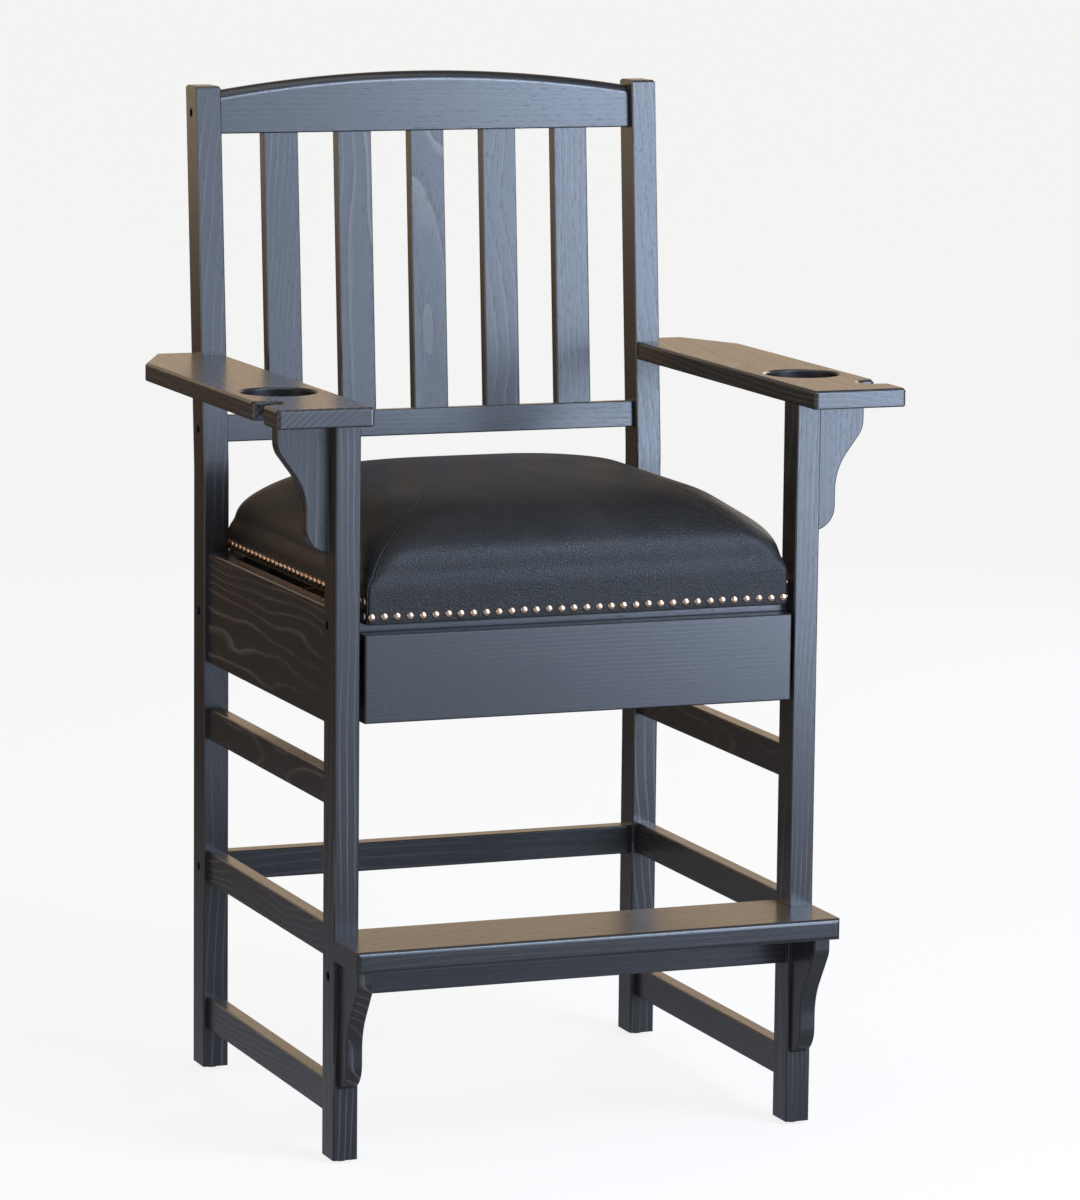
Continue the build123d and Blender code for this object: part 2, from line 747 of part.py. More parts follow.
with BuildPart() as arm:
    with BuildSketch(Plane.XY.offset(arm_bottom)):
        with BuildLine():
            Polyline(
                (leg_inner, arm_front),
                (arm_outer, arm_front),
                (arm_outer, arm_back - arm_clip_length),
                (arm_outer - arm_clip_width, arm_back),
                (leg_inner, arm_back),
                close=True,
            )
        make_face()
        fillet(vertices().group_by(Axis.Y)[0], arm_corner)
        fillet(vertices().sort_by_distance((arm_outer, arm_back - arm_clip_length))[0], arm_corner)
        fillet(vertices().sort_by_distance((arm_outer - arm_clip_width, arm_back))[0], arm_corner)
        with Locations(notch_middle):
            Rectangle(2 * (notch_depth - notch_round), notch_width, mode=Mode.SUBTRACT)
        with Locations((arm_outer - notch_depth + notch_round, notch_middle[1])):
            Circle(notch_round, mode=Mode.SUBTRACT)
        fillet(vertices().sort_by_distance(notch_middle)[:2], notch_lip_round)
    extrude(amount=arm_thickness)
    chamfer(arm.faces().sort_by(Axis.Z)[-1].edges(), arm_top_arris)
    chamfer(arm.faces().sort_by(Axis.Z)[0].edges(), arm_under_arris)
    with BuildSketch(Plane.XY.offset(arm_top)):
        with Locations(cup_middle):
            Circle(cup_diameter / 2)
    extrude(amount=-cup_depth, mode=Mode.SUBTRACT)
    rim = arm.edges().filter_by(GeomType.CIRCLE).filter_by_position(Axis.Z, arm_top, arm_top)
    chamfer(rim.sort_by_distance((*cup_middle, arm_top))[0], cup_rim_arris)
    with BuildSketch(Plane.YZ.offset(leg_inner - overrun)):
        with BuildLine():
            Polyline(
                (post_cut_front(post_cut_low), post_cut_low),
                (post_cut_front(post_cut_high), post_cut_high),
                (arm_back + post_depth, post_cut_high),
                (arm_back + post_depth, post_cut_low),
                close=True,
            )
        make_face()
    extrude(amount=leg_outer + arm_fit - leg_inner + overrun, mode=Mode.SUBTRACT)
    peg_hole_x(arm_peg_point, leg_outer - overrun, leg_outer + peg_depth)
    for y in leg_top_pegs:
        mouth = Plane(origin=(leg_middle_x, y, arm_bottom - overrun), z_dir=(0, 0, 1))
        cut_hole(mouth, peg_diameter + 2 * dowel_gap, overrun + peg_depth)
save_pair(arm.part, "arm")

with BuildPart() as arm_bracket:
    face = Plane(origin=(leg_outer, leg_back, arm_bottom), x_dir=(1, 0, 0), z_dir=(0, -1, 0))
    extrude(
        bracket_outline(
            face,
            arm_bracket_reach,
            arm_bracket_drop,
            arm_bracket_lip,
            arm_bracket_waist,
            arm_bracket_knee,
            arm_bracket_toe,
            arm_bracket_lip_round,
            arm_bracket_knee_round,
        ),
        amount=arm_bracket_thickness,
    )
    shown = arm_bracket.faces().filter_by(Axis.Y).edges()
    shown = shown.filter_by(lambda edge: edge.center().X > leg_outer + bracket_arris)
    shown = shown.filter_by(lambda edge: edge.center().Z < arm_bottom - bracket_arris)
    chamfer(shown, bracket_arris)
    for point in arm_bracket_pegs:
        peg_hole_x(point, leg_outer - overrun, leg_outer + peg_depth)
save_pair(arm_bracket.part, "arm_bracket")


# Seat: plywood board on the front and rear rails, foam and a leather cover nailed round the board's edge
cover_inset = leather_gap + leather_thickness
lip_bottom = seat_rail_top - seat_lip_drop
lip_back = front_rail_front - seat_lip_gap
dome_foot = seat_rail_top + shoulder_height
dome_height = crown_height - shoulder_height
dome_shares = [0, 0.14, 0.3, 0.46, 0.6, 0.72, 0.82, 0.9, 0.96]
dome_side_power = 2.5
dome_crown_power = 2.2
smallest_round_share = 0.7
corner_facets = 6


def plan_outline(height, growth, corner, width_share=1):
    """The seat board's outline at a height, grown on every side, with corners rounded in flat facets."""
    half_width = (seat_half_width + growth) * width_share
    half_length = (seat_half_length + growth) * width_share
    radius = min(corner, half_length * smallest_round_share)
    points = []
    for quarter, (side_x, side_y) in enumerate(((1, 1), (-1, 1), (-1, -1), (1, -1))):
        for step in range(corner_facets + 1):
            angle = math.radians(90 * (quarter + step / corner_facets))
            x = side_x * (half_width - radius) + radius * math.cos(angle)
            y = side_y * (half_length - radius) + radius * math.sin(angle)
            points.append((x, y))
    with BuildSketch(Plane.XY.offset(height)) as outline:
        with BuildLine(Plane(origin=(0, seat_middle_y, height))):
            Polyline(*points, close=True)
        make_face()
    return outline.sketch


def lip_outline(height, growth):
    """The front strip of the board's outline at a height, as far back as the lip under it."""
    with BuildSketch(Plane.XY.offset(height)) as outline:
        with Locations((0, seat_middle_y)):
            width = 2 * (seat_half_width + growth)
            length = 2 * (seat_half_length + growth)
            RectangleRounded(width, length, seat_corner_radius + growth)
        with Locations((0, lip_back)):
            Rectangle(leg_span, length, align=(Align.CENTER, Align.MIN), mode=Mode.SUBTRACT)
    return outline.sketch


def cushion(bottom, growth):
    """The domed seat down to a height, grown so much past the board and lifted as much at the crown."""
    drawn_top = seat_rail_top + drawn_height
    lift = growth - cover_inset
    sections = [plan_outline(drawn_top, growth, seat_corner_radius + growth)]
    for share in dome_shares:
        width_share = (1 - share**dome_side_power) ** (1 / dome_crown_power)
        corner = shoulder_round + (crown_round - shoulder_round) * share
        height = dome_foot + dome_height * share + lift * (share > 0)
        sections.append(plan_outline(height, growth + bulge, corner, width_share))
    with BuildPart() as dome:
        loft(sections, ruled=True)
    with BuildPart() as body:
        add(Solid(Shell([Face(face.outer_wire()) for face in dome.faces()])))
        extrude(plan_outline(bottom, growth, seat_corner_radius + growth), amount=drawn_top - bottom)
    return body.part


with BuildPart() as seat_foam:
    add(cushion(seat_board_top, 0))
save(seat_foam.part, "seat_foam")

with BuildPart() as seat_leather:
    add(cushion(seat_rail_top + leather_hem, cover_inset))
    extrude(lip_outline(lip_bottom - leather_hem, cover_inset), amount=seat_lip_drop + 2 * leather_hem)
    add(cushion(lip_bottom - overrun, leather_gap), mode=Mode.SUBTRACT)
save(seat_leather.part, "seat_leather")

with BuildPart() as seat_front_lip:
    extrude(lip_outline(lip_bottom, 0), amount=seat_lip_drop)
save(seat_front_lip.part, "seat_front_lip")


# Corner blocks under the seat board, notched round the posts at the rear, each with one screw
block_bottom = seat_rail_top - block_height


def block_tips(corner_y, into):
    """The free corners of a triangular block with cut tips, from its corner on the side rail."""
    return [
        (side_rail_inner, corner_y + into * block_leg),
        (side_rail_inner - block_nose, corner_y + into * block_leg),
        (side_rail_inner - block_leg, corner_y + into * block_nose),
        (side_rail_inner - block_leg, corner_y),
    ]


seat_screw_places = places_on(
    (-side_rail_inner + seat_screw_inset, side_rail_inner - seat_screw_inset),
    (leg_back + seat_screw_inset, rear_rail_front - seat_screw_inset),
    (block_bottom,),
    (0, 0, -1),
)
front_block_corner = [(side_rail_inner, leg_back)]
rear_block_corner = [(post_inner, rear_rail_front), (post_inner, post_front), (side_rail_inner, post_front)]
blocks = {
    "corner_block_front": block_tips(leg_back, 1) + front_block_corner,
    "corner_block_rear": block_tips(rear_rail_front, -1) + rear_block_corner,
}
for name, outline in blocks.items():
    with BuildPart() as corner_block:
        with BuildSketch(Plane.XY.offset(block_bottom)):
            with BuildLine():
                Polyline(*outline, close=True)
            make_face()
        extrude(amount=block_height)
        cut_screws(seat_screw_places, seat_screw_diameter, seat_screw_length)
    save_pair(corner_block.part, name)

with BuildPart() as seat_board:
    extrude(plan_outline(seat_rail_top, 0, seat_corner_radius), amount=seat_board_thickness)
    cut_screws(seat_screw_places, seat_screw_diameter, seat_screw_length)
save(seat_board.part, "seat_board")
save_group(screw(seat_screw_diameter, seat_screw_length), seat_screw_places, "seat_screws")


# Nail trim: faceted domes flat on the leather, in a row along each edge of the board
nail_half_round = nail_diameter / 2
nail_shoulder_shares = (0.8, 0.55)
leather_side = seat_half_width + cover_inset
leather_front = seat_front - cover_inset
leather_back = seat_back + cover_inset
flat_half_width = seat_half_width - seat_corner_radius
front_nail_count = int(2 * flat_half_width / nail_pitch) + 1
side_nail_run = seat_back - seat_corner_radius - leather_front - corner_nail_setback
side_nail_count = int(side_nail_run / nail_pitch) + 1
front_nails = [nail_pitch * (index - (front_nail_count - 1) / 2) for index in range(front_nail_count)]
side_nails = [leather_front + corner_nail_setback + nail_pitch * index for index in range(side_nail_count)]
lip_nail_height = seat_rail_top - seat_lip_drop / 2
board_nail_height = seat_rail_top + nail_rise
nail_places = (
    places_on(front_nails, (leather_front,), (lip_nail_height,), (0, -1, 0))
    + places_on(front_nails, (leather_back,), (board_nail_height,), (0, 1, 0))
    + places_on((leather_side,), side_nails, (board_nail_height,), (1, 0, 0))
    + places_on((-leather_side,), side_nails, (board_nail_height,), (-1, 0, 0))
    + places_on((leather_side,), side_nails[:1], (lip_nail_height,), (1, 0, 0))
    + places_on((-leather_side,), side_nails[:1], (lip_nail_height,), (-1, 0, 0))
)
nail_rim, nail_shoulder = nail_shoulder_shares
with BuildPart() as nailhead:
    with BuildSketch() as foot:
        RegularPolygon(nail_half_round, nail_sides)
    with BuildSketch(Plane.XY.offset(nail_height * nail_shoulder)) as shoulder:
        RegularPolygon(nail_half_round * nail_rim, nail_sides)
    loft([foot.sketch, shoulder.sketch])
    loft([shoulder.sketch, Vertex(0, 0, nail_height)])
save_group(nailhead.part, nail_places, "seat_nailheads")


# Drawer under the seat, with an overlaid front that is pulled by its lower edge
def board(x_span, y_span, z_span, mode=Mode.ADD):
    """A square-edged board between two places along each axis."""
    with BuildSketch(Plane.XY.offset(z_span[0])) as outline:
        with Locations(((x_span[0] + x_span[1]) / 2, (y_span[0] + y_span[1]) / 2)):
            Rectangle(x_span[1] - x_span[0], y_span[1] - y_span[0])
    extrude(outline.sketch, amount=z_span[1] - z_span[0], mode=mode)


drawer_screw_x = box_inner - drawer_screw_inset
drawer_screw_places = places_on(
    (-drawer_screw_x, drawer_screw_x),
    (box_front_back,),
    ((box_low + box_high - drawer_screw_rows) / 2, (box_low + box_high + drawer_screw_rows) / 2),
    (0, 1, 0),
)

with BuildPart() as drawer_front:
    board(
        (-drawer_front_half, drawer_front_half),
        (drawer_face, drawer_front_back),
        (drawer_front_bottom, drawer_front_top),
    )
    chamfer(drawer_front.faces().sort_by(Axis.Y)[0].edges(), drawer_front_arris)
    cut_screws(drawer_screw_places, drawer_screw_diameter, drawer_screw_length)
save(drawer_front.part, "drawer_front")

with BuildPart() as drawer_box_front:
    board((-box_rabbet, box_rabbet), (drawer_front_back, box_front_back), (box_low, box_high))
    board(
        (-box_rabbet, box_rabbet),
        (box_front_back - drawer_groove_depth - drawer_fit, box_front_back + overrun),
        panel_groove,
        mode=Mode.SUBTRACT,
    )
    cut_screws(drawer_screw_places, drawer_screw_diameter, drawer_screw_length)
save(drawer_box_front.part, "drawer_box_front")
save_group(screw(drawer_screw_diameter, drawer_screw_length), drawer_screw_places, "drawer_front_screws")

with BuildPart() as drawer_side:
    board((box_inner, box_outer), (drawer_front_back, box_back), (box_low, box_high))
    rabbet = (box_inner - overrun, box_rabbet)
    board(rabbet, (drawer_front_back, box_front_back), (box_low, box_high), mode=Mode.SUBTRACT)
    board(rabbet, (box_back_front, box_back), (box_low, box_high), mode=Mode.SUBTRACT)
    board(
        (box_inner - overrun, box_inner + drawer_groove_depth + drawer_fit),
        (drawer_front_back, box_back),
        panel_groove,
        mode=Mode.SUBTRACT,
    )
    board(
        (box_outer - runner_groove_depth, box_outer + overrun),
        (groove_front, box_back + overrun),
        runner_groove,
        mode=Mode.SUBTRACT,
    )
save_pair(drawer_side.part, "drawer_side")

with BuildPart() as drawer_back:
    board((-box_rabbet, box_rabbet), (box_back_front, box_back), (panel_high, box_high))
save(drawer_back.part, "drawer_back")

with BuildPart() as drawer_bottom:
    panel_edge = box_inner + drawer_groove_depth
    panel_front = box_front_back - drawer_groove_depth
    board((-panel_edge, panel_edge), (panel_front, box_back), (panel_low, panel_high))
save(drawer_bottom.part, "drawer_bottom")

with BuildPart() as drawer_runner:
    board((runner_inner, side_rail_inner), (runner_front, runner_back), (runner_low, runner_high))
    cut_screws(runner_screws_right, runner_screw_diameter, runner_screw_length)
save_pair(drawer_runner.part, "drawer_runner")
runner_screw = screw(runner_screw_diameter, runner_screw_length)
save_group(runner_screw, runner_screws_right + runner_screws_left, "runner_screws")


# Bolts with their cross-dowel nuts, locating dowels, pegs and glides
def bolt(inner):
    """A socket-head bolt that reaches through its nut in the rail, with the seat of its head at z = 0."""
    length = leg_outer - bolt_recess_depth - inner + nut_setback + bolt_tail
    with BuildPart() as shape:
        with BuildSketch():
            RegularPolygon(bolt_head_diameter / 2, bolt_head_sides)
        extrude(amount=bolt_head_height)
        with BuildSketch():
            RegularPolygon(bolt_diameter / 2, fastener_sides)
        extrude(amount=-length)
        with BuildSketch(Plane.XY.offset(bolt_head_height)):
            RegularPolygon(hex_key / 2, 6, major_radius=False)
        extrude(amount=-hex_depth, mode=Mode.SUBTRACT)
    return shape.part


with BuildPart() as barrel_nut:
    with BuildSketch():
        RegularPolygon(nut_diameter / 2, fastener_sides)
    extrude(amount=nut_length / 2, both=True)
    cut_hole(Plane.YZ.offset(-nut_diameter), bolt_diameter + 2 * bolt_gap, 2 * nut_diameter)


def pin(diameter, half_length):
    """A plain round dowel or peg, centred on the joint that it crosses."""
    with BuildPart() as shape:
        with BuildSketch():
            RegularPolygon(diameter / 2, fastener_sides)
        extrude(amount=half_length, both=True)
    return shape.part


bolts = []
nuts = []
dowels = []
for joints, inner in ((post_joints, post_inner), (leg_joints, leg_inner)):
    joint_bolt = bolt(inner)
    dowel = pin(dowel_diameter, dowel_depth)
    for joint in joints:
        for side in (-1, 1):
            seat = facing_x(side * (leg_outer - bolt_recess_depth), joint[0], side)
            bolts.append(seat.location * joint_bolt)
            nuts.append(nut_plane(joint, side * (inner - nut_setback)).location * barrel_nut.part)
            dowels.extend(facing_x(side * inner, point).location * dowel for point in dowel_points(joint))


def save_all(shapes, name):
    """Writes a set of placed fasteners as separate solids in one piece."""
    with BuildPart() as group:
        add(shapes)
    save(group.part, name)


save_all(bolts, "frame_bolts")
save_all(nuts, "barrel_nuts")
save_all(dowels, "rail_dowels")

peg = pin(peg_diameter, peg_depth)
sides_x = (-leg_outer, leg_outer)
arm_pegs = places_on((-leg_middle_x, leg_middle_x), leg_top_pegs, (arm_bottom,), (0, 0, 1))
arm_pegs += places_on(sides_x, (arm_peg_point.Y,), (arm_peg_point.Z,), (1, 0, 0))
save_group(peg, arm_pegs, "arm_pegs")
arm_bracket_heights = [point.Z for point in arm_bracket_pegs]
arm_bracket_peg_places = places_on(sides_x, (arm_bracket_pegs[0].Y,), arm_bracket_heights, (1, 0, 0))
save_group(peg, arm_bracket_peg_places, "arm_bracket_pegs")
foot_bracket_heights = [point.Z for point in foot_bracket_pegs]
foot_bracket_xs = (-foot_bracket_x, foot_bracket_x)
foot_bracket_peg_places = places_on(foot_bracket_xs, (leg_front,), foot_bracket_heights, (0, 1, 0))
save_group(peg, foot_bracket_peg_places, "footrest_bracket_pegs")

with BuildPart() as glide:
    with BuildSketch():
        RegularPolygon(glide_diameter / 2, bolt_head_sides)
    extrude(amount=glide_height)
    with BuildSketch(Plane.XY.offset(glide_height)):
        RegularPolygon(glide_stem_diameter / 2, fastener_sides)
    extrude(amount=glide_stem_length)
glide_places = places_on((-leg_middle_x, leg_middle_x), (leg_middle_y,), (0,), (0, 0, 1))
glide_places += places_on((-post_middle_x, post_middle_x), (post_middle,), (0,), (0, 0, 1))
save_group(glide.part, glide_places, "leg_glides")
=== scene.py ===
import math
import bpy
import numpy as np
from mathutils import Matrix, Vector


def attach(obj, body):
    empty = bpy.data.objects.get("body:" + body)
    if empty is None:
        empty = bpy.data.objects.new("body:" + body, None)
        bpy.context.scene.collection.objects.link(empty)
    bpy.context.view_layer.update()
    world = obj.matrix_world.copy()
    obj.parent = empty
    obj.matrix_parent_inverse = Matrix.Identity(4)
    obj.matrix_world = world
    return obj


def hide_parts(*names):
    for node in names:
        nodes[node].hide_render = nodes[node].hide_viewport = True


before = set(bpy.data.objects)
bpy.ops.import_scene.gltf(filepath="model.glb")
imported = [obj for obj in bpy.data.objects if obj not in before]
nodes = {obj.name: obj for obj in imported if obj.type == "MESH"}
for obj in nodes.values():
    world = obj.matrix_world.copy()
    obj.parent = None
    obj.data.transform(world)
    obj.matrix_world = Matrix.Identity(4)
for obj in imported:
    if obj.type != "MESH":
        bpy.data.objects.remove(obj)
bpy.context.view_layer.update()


# Side frames: two raked back posts and two front legs of ash, stained black and lacquered satin.
# Each upright is sawn from one board with the grain running up it, and its long edges are eased.
upright_pith = (0.06, 0.11, 0.0)
stain = (0.0105, 0.0098, 0.0105, 1)
ring_tone = (0.085, 0.075, 0.068, 1)
pore_tone = (0.003, 0.003, 0.003, 1)
# The edge tone lightens every edge of the stained wood: partly rubbed wear, partly a painted highlight.
rubbed_and_highlight_tone = (0.055, 0.047, 0.042, 1)
grain_up = (0.0, 0.0, 0.0)
grain_across = (0.0, -math.pi / 2, 0.0)
grain_back = (math.pi / 2, 0.0, 0.0)
rake = math.radians(4.25)
grain_raked = (rake, 0.0, 0.0)


def set_inputs(tree, node, inputs):
    """Gives each input of a node, by its name or number, a value or a link."""
    for key, value in dict(inputs).items():
        if isinstance(value, bpy.types.NodeSocket):
            tree.links.new(value, node.inputs[key])
        else:
            node.inputs[key].default_value = value


def add_node(tree, kind, inputs=(), **settings):
    """Adds a shader node, sets its properties, and gives each input a value or a link."""
    made = tree.nodes.new(kind)
    for name, value in settings.items():
        setattr(made, name, value)
    set_inputs(tree, made, inputs)
    return made


def work_out(tree, operation, *values):
    """One Math node: the operation on the given values or outputs."""
    return add_node(tree, "ShaderNodeMath", enumerate(values), operation=operation).outputs[0]


def ramp(tree, value, low, high, start=0.0, end=1.0):
    """One Map Range node: low to high becomes start to end, held at both."""
    inputs = {"Value": value, "From Min": low, "From Max": high, "To Min": start, "To Max": end}
    return add_node(tree, "ShaderNodeMapRange", inputs, interpolation_type="SMOOTHSTEP").outputs[0]


def stretched(tree, vector, scale):
    """The vector with each axis multiplied, so that a pattern on it is drawn out along an axis."""
    inputs = {0: vector, 1: scale}
    return add_node(tree, "ShaderNodeVectorMath", inputs, operation="MULTIPLY").outputs[0]


def speckle(tree, vector, detail=2.0):
    """Plain noise of unit scale on a vector."""
    inputs = {"Vector": vector, "Scale": 1.0, "Detail": detail}
    return add_node(tree, "ShaderNodeTexNoise", inputs).outputs["Fac"]


def bumped(tree, height, strength, distance, **inputs):
    """The normal that a Bump node makes of a height, its distance in metres."""
    inputs = {"Strength": strength, "Distance": distance, "Height": height, **inputs}
    return add_node(tree, "ShaderNodeBump", inputs).outputs[0]


def object_place(tree):
    """Object coordinates."""
    return add_node(tree, "ShaderNodeTexCoord").outputs["Object"]


def even_speckle(tree, vector, scale, detail):
    """Noise on a vector that is multiplied by the same number along each axis."""
    return speckle(tree, stretched(tree, vector, (scale, scale, scale)), detail)


def start_group(name, inputs, outputs):
    """An empty shader group with named inputs, their kinds and values, and named outputs. It gives the group,
    the sockets that feed it and the node that takes its results."""
    tree = bpy.data.node_groups.new(name, "ShaderNodeTree")
    for socket, kind, value in inputs:
        made = tree.interface.new_socket(socket, in_out="INPUT", socket_type=kind)
        made.default_value = value
    for socket, kind in outputs:
        tree.interface.new_socket(socket, in_out="OUTPUT", socket_type=kind)
    return tree, tree.nodes.new("NodeGroupInput").outputs, tree.nodes.new("NodeGroupOutput")


def new_material(name):
    """A material, its node tree and its Principled shader."""
    made = bpy.data.materials.new(name)
    made.use_nodes = True
    tree = made.node_tree
    return made, tree, tree.nodes["Principled BSDF"]


def coat(material, *names):
    """Gives a material to carried-over nodes."""
    for name in names:
        for slot in nodes[name].material_slots:
            slot.material = material


# Growth rings are cylinders about the pith, swayed slowly along the grain, so that a flat-sawn face shows
# arches and a quarter-sawn one lines. Pores are short fine streaks, crowded at the start of each ring.
sway_scale = (3.5, 3.5, 1.1)
pore_scale = (1150.0, 1150.0, 95.0)
fibre_scale = (420.0, 420.0, 7.0)
cloud_scale = (9.0, 9.0, 3.0)
wood_figure, fed, given = start_group(
    "wood_figure",
    [
        ("Vector", "NodeSocketVector", (0.0, 0.0, 0.0)),
        ("Ring Width", "NodeSocketFloat", 0.006),
        ("Sway", "NodeSocketFloat", 0.03),
    ],
    [
        ("Rings", "NodeSocketFloat"),
        ("Pores", "NodeSocketFloat"),
        ("Fibre", "NodeSocketFloat"),
        ("Cloud", "NodeSocketFloat"),
        ("Height", "NodeSocketFloat"),
    ],
)
slow = add_node(
    wood_figure,
    "ShaderNodeTexNoise",
    {"Vector": stretched(wood_figure, fed["Vector"], sway_scale), "Scale": 1.0, "Detail": 3.0},
).outputs["Color"]
centred = add_node(wood_figure, "ShaderNodeVectorMath", {0: slow, 1: (0.5, 0.5, 0.5)}, operation="SUBTRACT")
swayed = add_node(
    wood_figure,
    "ShaderNodeVectorMath",
    {0: centred.outputs[0], 3: fed["Sway"]},
    operation="SCALE",
)
moved = add_node(
    wood_figure,
    "ShaderNodeVectorMath",
    {0: fed["Vector"], 1: swayed.outputs[0]},
    operation="ADD",
)
flat = stretched(wood_figure, moved.outputs[0], (1.0, 1.0, 0.0))
radius = add_node(wood_figure, "ShaderNodeVectorMath", {0: flat}, operation="LENGTH").outputs["Value"]
ring = work_out(wood_figure, "FRACT", work_out(wood_figure, "DIVIDE", radius, fed["Ring Width"]))
early = ramp(wood_figure, ring, 0.45, 0.0)
late = ramp(wood_figure, ring, 0.72, 0.97)
streaks = speckle(wood_figure, stretched(wood_figure, fed["Vector"], pore_scale), 1.0)
crowd = work_out(wood_figure, "MULTIPLY_ADD", early, 0.11, streaks)
pores = ramp(wood_figure, crowd, 0.62, 0.72)
fibre = speckle(wood_figure, stretched(wood_figure, fed["Vector"], fibre_scale), 3.0)
cloud = speckle(wood_figure, stretched(wood_figure, fed["Vector"], cloud_scale), 3.0)
relief = work_out(wood_figure, "MULTIPLY_ADD", fibre, 0.25, work_out(wood_figure, "MULTIPLY", pores, -1.0))
set_inputs(wood_figure, given, {
    "Rings": late, "Pores": pores, "Fibre": fibre, "Cloud": cloud, "Height": relief,
})

# A sharp modelled edge catches light as the eased edge of the real piece does, and its base colour is
# lightened evenly along every edge: partly rubbed wear, partly a painted highlight.
eased_edges, fed, given = start_group(
    "eased_edges",
    [("Radius", "NodeSocketFloat", 0.0015)],
    [("Normal", "NodeSocketVector"), ("Rubbed And Highlit", "NodeSocketFloat")],
)
bevel = add_node(eased_edges, "ShaderNodeBevel", {"Radius": fed["Radius"]}, samples=4)
plain_normal = add_node(eased_edges, "ShaderNodeNewGeometry").outputs["Normal"]
turned = add_node(
    eased_edges,
    "ShaderNodeVectorMath",
    {0: bevel.outputs[0], 1: plain_normal},
    operation="DOT_PRODUCT",
).outputs["Value"]
set_inputs(eased_edges, given, {
    "Normal": bevel.outputs[0], "Rubbed And Highlit": ramp(eased_edges, turned, 0.97, 0.75),
})


def group_in(tree, group, inputs):
    """Places a shader group in a material with its own values, and gives its outputs."""
    return add_node(tree, "ShaderNodeGroup", inputs, node_tree=group).outputs


def grain_coordinates(tree, turn, pith):
    """Object coordinates turned so that the grain runs along Z, with the pith at the origin."""
    inputs = {"Vector": object_place(tree), "Rotation": turn, "Location": pith}
    return add_node(tree, "ShaderNodeMapping", inputs, vector_type="POINT").outputs[0]


def mixed(tree, factor, first, second):
    """One Mix node between two colours."""
    inputs = {0: factor, 6: first, 7: second}
    return add_node(tree, "ShaderNodeMix", inputs, data_type="RGBA").outputs[2]


def black_ash(name, turn, pith, ring_width=0.0065, sway=0.035, edge=0.0016, clear=1.0):
    """Black-stained open-grain ash under satin lacquer, with the grain turned to the piece."""
    made, tree, shader = new_material(name)
    inputs = {"Vector": grain_coordinates(tree, turn, pith), "Ring Width": ring_width, "Sway": sway}
    figure = group_in(tree, wood_figure, inputs)
    edges = group_in(tree, eased_edges, {"Radius": edge})
    strong = ramp(tree, figure["Cloud"], 0.35, 0.65, 0.1 * clear, clear)
    lines = work_out(tree, "MULTIPLY", figure["Rings"], strong)
    tone = mixed(tree, lines, stain, ring_tone)
    tone = mixed(tree, work_out(tree, "MULTIPLY", figure["Pores"], 0.7), tone, pore_tone)
    # The base colour is lightened along every edge: partly rubbed wear, partly a painted highlight.
    tone = mixed(tree, work_out(tree, "MULTIPLY", edges["Rubbed And Highlit"], 0.45), tone, rubbed_and_highlight_tone)
    gloss = ramp(tree, figure["Fibre"], 0.25, 0.75, 0.27, 0.36)
    gloss = work_out(tree, "MULTIPLY_ADD", figure["Pores"], 0.3, gloss)
    relief = bumped(tree, figure["Height"], 0.35, 0.0002, Normal=edges["Normal"])
    set_inputs(tree, shader, {
        "Base Color": tone, "Roughness": gloss, "Normal": relief, "IOR": 1.5,
        "Coat Weight": 0.9, "Coat Roughness": 0.24, "Coat IOR": 1.5,
    })
    return made


ash_up = black_ash("black_ash_up", grain_up, upright_pith, sway=0.07)
coat(ash_up, "back_post_left", "back_post_right", "front_leg_left", "front_leg_right")


# Side rails: three stretchers and the seat apron between post and leg on each side, tenoned into both.
# Ash again, with the grain running from front to back, flat-sawn so that the aprons show arches.
ash_back = black_ash("black_ash_side_rails", grain_back, (-0.2, 0.44, -0.05), 0.004, sway=0.08)
for side in ("left", "right"):
    coat(
        ash_back,
        f"lower_side_stretcher_{side}",
        f"middle_side_stretcher_{side}",
        f"upper_side_stretcher_{side}",
        f"side_apron_{side}",
    )


# Cross rails: bolted between the side frames at seat height and below, straight ash with the grain across.
# The two seat rails are hidden by drawer and cushion, and the low front rail carries the footrest.
ash_across = black_ash("black_ash_rails", grain_across, (0.03, 0.12, 0.0), clear=0.4)
coat(ash_across, "rear_seat_rail", "rear_stretcher", "front_seat_rail", "front_stretcher")


# Raked back: an arched crest rail rounded over its top edge, a lower rail and five flat slats between them.
# The slats are flat-sawn, so their faces show broad arches.
crest_ash = black_ash("black_ash_crest", grain_across, (-1.1, -0.16, 0.0), clear=0.3)
slat_ash = black_ash("black_ash_slats", grain_raked, (0.0, 0.25, 0.3), ring_width=0.004, sway=0.08)
coat(crest_ash, "lower_back_rail")
coat(slat_ash, *[f"back_slat_{number}" for number in range(1, 6)])

# The crest rail stands straight along its underside and is rounded well over its arched top.
bend_level = 0.745
back_core = 0.26652
crest_half = 0.268
crest_foot = 0.42627
crest_end = 0.0523
crest_arch = 0.0212
crest_half_thickness = 0.011
crest_arris = 0.0012
crest_front_round = (0.0155, 0.0135)
crest_back_round = 0.0055


def quarter_turn(centre_w, centre_v, reach_w, reach_v, start, steps=9):
    """A quarter of an ellipse about a centre, from a start angle in quarter turns, falling clockwise."""
    angle = np.linspace(start, start - 1, steps) * np.pi / 2
    return centre_w + reach_w * np.cos(angle), centre_v + reach_v * np.sin(angle)


